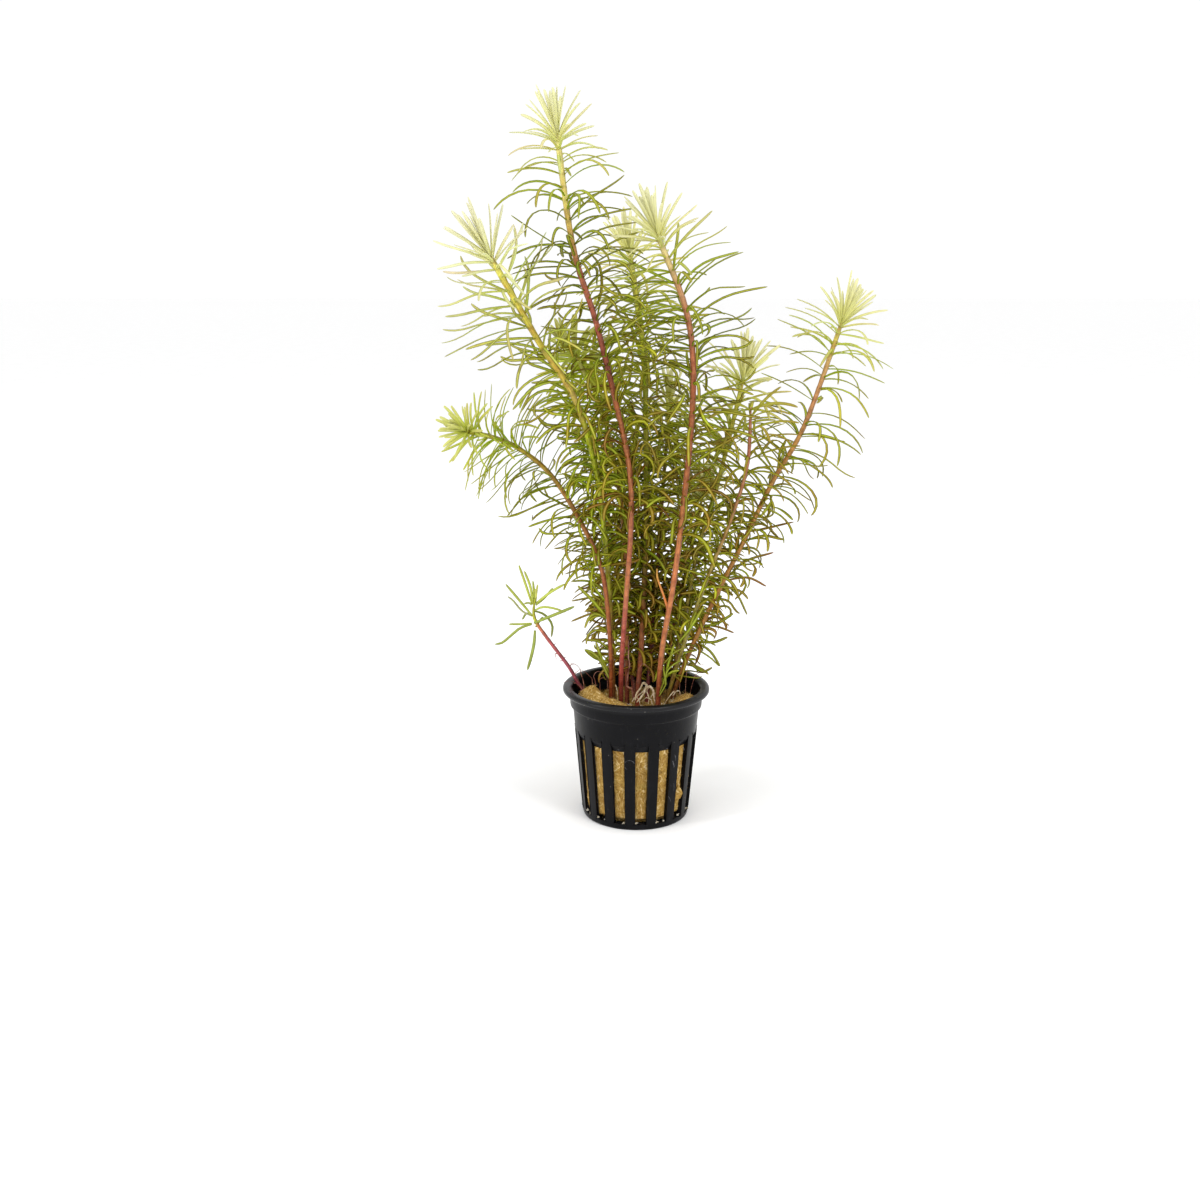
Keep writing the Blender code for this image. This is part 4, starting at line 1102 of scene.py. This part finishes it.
def add_base_plate(builder):
    """The flat base with its drain holes, a little above the foot that the pot stands on."""
    in_hole, solid = 6, 6
    columns = column_angles(DRAIN_COUNT, DRAIN_ARC, in_hole, solid)
    per, n = in_hole + solid, len(columns)
    radii = [1.5, 4.5, DRAIN_INNER_RADIUS, 10, 13, DRAIN_OUTER_RADIUS, BASE_RADIUS - 1.0]
    hole_in, hole_out = radii.index(DRAIN_INNER_RADIUS), radii.index(DRAIN_OUTER_RADIUS)
    edge, centre = (len(radii) - 1) * n, len(radii) * n
    top = centre + 1
    points, faces = [], []
    for z in (0.3, WALL - 0.05):
        for radius in radii:
            points += turned(radius, z, columns)
        points.append((0, 0, z))

    def side_wall(a, b):
        faces.append((a, b, b + top, a + top))

    for r in range(len(radii) - 1):
        for j in range(n):
            if not (j % per < in_hole and hole_in <= r < hole_out):
                a, b, c, d = r * n + j, r * n + (j + 1) % n, (r + 1) * n + (j + 1) % n, (r + 1) * n + j
                faces += [(a, b, c, d), (d + top, c + top, b + top, a + top)]
    for j in range(n):
        faces += [(centre, (j + 1) % n, j), (top + centre, top + j, top + (j + 1) % n)]
        side_wall(edge + j, edge + (j + 1) % n)
    for left in range(0, n, per):
        right = left + in_hole
        for r in range(hole_in, hole_out):
            side_wall(r * n + left, (r + 1) * n + left)
            side_wall((r + 1) * n + right, r * n + right)
        for j in range(left, right):
            side_wall(hole_in * n + j + 1, hole_in * n + j)
            side_wall(hole_out * n + j, hole_out * n + j + 1)
    builder.add(points, faces)


def make_marks_and_highlights(mat):
    """Pale marks on the pot: a round one left by the mould near the tops of the slots, and painted highlights
    along the ribs and the slots' tops.
    """
    builder = Builder()

    def on_wall(angle, z):
        return polar(inner_wall(z) + WALL - 0.02, angle, z)

    angle, height, size = FIRST_SLOT - SLOT_PERIOD / 2, 26.2, 1.9
    for start, end in ((0.45, 2.75), (3.6, 4.2)):
        route = [on_wall(angle + size * math.cos(t) / 22, height + size * math.sin(t))
                 for t in np.linspace(start, end, 12)]
        builder.strand(route, 0.25, 6, 0.07)
    # Painted highlights: thin pale streaks on the ribs and at the slots' tops
    for (a, low), (b, high), thick in EDGE_HIGHLIGHTS:
        a, b = math.radians(a), math.radians(b)
        middle = on_wall((a + b) / 2 + 0.006, (low + high) / 2)
        builder.strand([on_wall(a, low), middle, on_wall(b, high)], 0.3, 6,
                       lambda share: thick * (0.5 + 0.5 * np.sin(math.pi * share)))
    builder.piece("pot_scuffs", mat, ["net_pot"], "pot_plastic")


# Stone wool, roots and loose fibres

def inner_wall(z):
    return BASE_RADIUS - WALL + (BODY_TOP_RADIUS - BASE_RADIUS) * z / LEDGE_Z


def slot_share(angle, z):
    """1 well inside a slot, 0 behind a rib."""
    off = abs((angle - FIRST_SLOT + SLOT_PERIOD / 2) % SLOT_PERIOD - SLOT_PERIOD / 2)
    across = smooth((SLOT_ARC / 2 - 0.004 - off) / 0.02)
    up = smooth((z - 3.6) / 1.2) * smooth((SLOT_TOP - 0.2 - z) / 0.8)
    return float(across * up)


def wool_top(x, y):
    height = WOOL_LEVEL
    for cx, cy, rise, wide, deep in WOOL_LUMPS:
        height += rise * math.exp(-((x - cx) / wide) ** 2 / 2 - ((y - cy) / deep) ** 2 / 2)
    rough = noise.fractal(Vector((x * 0.35, y * 0.35, 3.1)), 0.7, 2.1, 4)
    fine = noise.fractal(Vector((x * 1.1, y * 1.1, 7.7)), 0.8, 2.1, 3)
    return height + 0.7 * rough + 0.12 * fine - 1.5 * float(smooth((math.hypot(x, y) - 20.8) / 2.0))


def on_wool(radius, angle):
    x, y, _ = polar(radius, angle, 0)
    return x, y, wool_top(x, y)


def wool_side(angle, z):
    share = slot_share(angle, z)
    wall = inner_wall(z)
    spot = Vector(polar(wall, angle, z))
    rough = noise.fractal(spot * 0.55, 0.8, 2.0, 4)
    coarse = noise.noise(spot * 0.16)
    # The wool stops a little above the feet of the slots
    foot = 1 - float(smooth((z - 2.6) / 1.7))
    return wall - 0.25 + share * (0.15 + 0.3 * rough + 0.5 * coarse) - 2.6 * foot


def make_wool(mat):
    columns = WOOL_COLUMNS
    angles = FIRST_SLOT + math.tau * np.arange(columns) / columns
    sides = [(z, True) for z in np.linspace(1.55, 40, 78)] + [(z, False) for z in (41, 42)]
    edge = inner_wall(42) - 0.25
    points = []
    for z, rough in sides:
        points += [polar(wool_side(a, z) if rough else edge, a, z) for a in angles]
    # Two rows lead over the edge, then rings cover the top
    for highest, sunk in ((43.4, 1.0), (45.5, 0.4)):
        for x, y, top in (on_wool(edge, a) for a in angles):
            points.append((x, y, min(highest, top - sunk)))
    for radius in WOOL_RINGS:
        points += [on_wool(radius, a) for a in angles]
    rows = len(points) // columns
    faces = band_faces(rows, columns)
    last, low = len(points), len(points) + 1
    points += [(0, 0, wool_top(0, 0)), (0, 0, sides[0][0])]
    start = (rows - 1) * columns
    faces += [(start + j, start + (j + 1) % columns, last) for j in range(columns)]
    faces += [((j + 1) % columns, j, low) for j in range(columns)]
    builder = Builder()
    builder.add(points, faces)
    builder.piece("wool_plug", mat, ["stone_wool_plug"], "stone_wool")


def make_fibres(mat):
    """Loose fibres of the wool on its top and in the slots."""
    rng = np.random.default_rng(71)
    builder = Builder()

    def strand(start, normal, lean, length, radius):
        along = unit(np.cross(normal, rng.normal(0, 1, 3)))
        bend = rng.normal(0, 0.5, 3)
        route = [start - 0.2 * normal, start + length * (0.35 * along + lean * 0.3 * normal),
                 start + length * (0.7 * along + lean * 0.5 * normal + 0.15 * bend),
                 start + length * (along + lean * 0.3 * normal + 0.35 * bend)]
        builder.strand(route, length / 4, 3, lambda share: radius * (1 - 0.6 * share))

    for _ in range(TOP_FIBRES):
        radius, a = 21.5 * math.sqrt(rng.random()), rng.uniform(0, math.tau)
        strand(np.array(on_wool(radius, a)), np.array([0, 0, 1.0]), rng.uniform(0.2, 1),
               rng.uniform(0.8, 2.6), rng.uniform(0.03, 0.055))
    for _ in range(SLOT_FIBRES):
        a = FIRST_SLOT + SLOT_PERIOD * int(rng.integers(SLOT_COUNT))
        a += rng.uniform(-0.5, 0.5) * (SLOT_ARC * 0.92)
        z = rng.uniform(3.2, SLOT_TOP - 0.5)
        strand(np.array(polar(wool_side(a, z), a, z)), np.array(polar(1, a, 0)), rng.uniform(0.0, 0.25),
               rng.uniform(1.2, 3.4), rng.uniform(0.022, 0.045))
    builder.piece("wool_fibres", mat, ["stone_wool_plug"], "stone_wool")


def make_flap(mat):
    """A torn flap of wool that stands out of the slot right of the middle."""
    outline = np.array([(15.4, -14.5, 15.9), (16.3, -14.7, 14.4), (17.1, -15.0, 12.8), (16.3, -15.2, 11.0),
                        (15.4, -15.1, 10.0), (14.0, -14.9, 11.0), (14.4, -14.7, 13.4)])
    points = np.concatenate([outline, outline + np.array([-0.4, 0.7, 0])])
    n = len(outline)
    faces = [tuple(range(n)), tuple(reversed(range(n, 2 * n)))]
    faces += [(j, j + n, (j + 1) % n + n, (j + 1) % n) for j in range(n)]
    builder = Builder()
    builder.add(points, faces)
    flap = builder.piece("wool_flap", mat, ["stone_wool_plug"], "stone_wool", smooth_shade=False)
    soft = flap.modifiers.new("soft", "BEVEL")
    soft.width = 0.25 * MM
    soft.segments = 2


def make_tufts(mat):
    """Pale fluff at the stems' feet and at the feet of the slots."""
    rng = np.random.default_rng(9)
    builder = Builder()

    def fluff(start, size, wander, step, radius):
        route = [start]
        for _ in range(3):
            route.append(route[-1] + size * rng.normal(0, wander, 3))
        builder.strand(route, step, 4, radius)

    for x, y, size in TUFTS:
        centre = np.array([x, y, wool_top(x, y) + 0.5 * size])
        for _ in range(int(34 * size)):
            fluff(centre + size * rng.normal(0, 0.5, 3) * (1, 1, 0.7), size, 0.4, 0.3, 0.07)
    for i in range(SLOT_COUNT):
        for side in (-0.36, 0.3):
            if rng.random() < 0.3:
                continue
            a = FIRST_SLOT + i * SLOT_PERIOD + (side + rng.uniform(-0.08, 0.08)) * SLOT_ARC
            z = SLOT_BOTTOM + rng.uniform(0.3, 0.6)
            radius = inner_wall(z) + rng.uniform(0.6, 0.9)
            centre = np.array(polar(radius, a, z))
            for _ in range(9):
                fluff(centre + rng.normal(0, 0.14, 3), 1, 0.16, 0.15, 0.09)
    builder.piece("wool_tufts", mat, ["stone_wool_plug"], "stone_wool")


def make_strands(name, mat, routes):
    """Tapered strands along given routes of (radius, points)."""
    builder = Builder()
    for radius, route in routes:
        def thickness(share):
            wobble = 1 + 0.16 * np.sin(share * 11 + radius * 40) + 0.1 * np.sin(share * 27 + radius * 90)
            return STRAND_WIDTH * radius * (1 - 0.5 * share) * wobble

        builder.strand(route, 0.5, 8, thickness)
    builder.piece(name, mat, ["stone_wool_plug"], "stone_wool")


# Studio

def stand(name, data, place, direction):
    """Puts a camera or a light in its place, looking in a direction."""
    obj = add_object(name, data)
    obj.location = place
    obj.rotation_mode = "QUATERNION"
    obj.rotation_quaternion = direction.to_track_quat("-Z", "Y")
    return obj


def soft_light(name, place, aim, size, watts):
    lamp = bpy.data.lights.new(name, "AREA")
    lamp.shape = "RECTANGLE"
    lamp.size, lamp.size_y = size
    lamp.energy = watts
    stand(name, lamp, place, Vector(aim) - Vector(place))


def make_floor():
    """A pale floor of square cells, in metres."""
    size, cells = 20.0, 8
    across = cells + 1
    grid = [(size * (i / cells - 0.5), size * (j / cells - 0.5), 0)
            for j in range(across) for i in range(across)]
    faces = [(j * across + i, j * across + i + 1, (j + 1) * across + i + 1, (j + 1) * across + i)
             for j in range(cells) for i in range(cells)]
    mesh = bpy.data.meshes.new("floor")
    mesh.from_pydata(grid, [], faces)
    mesh.materials.append(floor_material())
    floor = add_object("floor", mesh)


def make_studio():
    camera = bpy.data.cameras.new("photo_camera")
    camera.lens = CAMERA_LENS
    camera.sensor_width = 36.0
    camera.clip_start, camera.clip_end = 0.01, 60
    back = Vector((0, -math.cos(CAMERA_ELEVATION), math.sin(CAMERA_ELEVATION)))
    place = (CAMERA_TARGET + back * CAMERA_DISTANCE) * MM
    bpy.context.scene.camera = stand("photo_camera", camera, place, -back)
    world = bpy.data.worlds.new("studio_surround")
    world.use_nodes = True
    world.node_tree.nodes["Background"].inputs["Color"].default_value = (1, 1, 1, 1)
    world.node_tree.nodes["Background"].inputs["Strength"].default_value = 1.03
    bpy.context.scene.world = world
    soft_light("key_softbox", (0.7, -0.75, 0.85), (0, 0, 0.1), (0.32, 0.32), 4.0)
    soft_light("left_softbox", (-0.8, -0.4, 0.45), (0, 0, 0.06), (0.1, 0.7), 2.2)
    soft_light("top_softbox", (-0.05, -0.12, 1.0), (0, 0, 0.1), (0.3, 0.25), 2.2)
    make_floor()
    bpy.context.scene.view_settings.view_transform = "Standard"


make_studio()
make_plants()
make_pot(pot_material())
# Pale material of the round mark and of the painted highlights on the pot
make_marks_and_highlights(strand_material("pot_scuff", "2c2c30", "56565a", "8c8c8e", 0.6, 700))
wool = wool_material()
make_wool(wool)
make_flap(wool)
make_fibres(strand_material("loose_fibre", "7c5e28", "b4944c", "dcc890", 0.75))
make_tufts(strand_material("white_tuft", "b8a888", "e6dcc4", "f6f2e6", 0.75))
make_strands("white_roots", strand_material("root_skin", "86664a", "d2bc98", "f2e8d0", 0.7, 900), ROOTS)
make_strands("dead_curls", strand_material("dead_runner", "5c2c28", "a06858", "c89a80", 0.6), DEAD_CURLS)
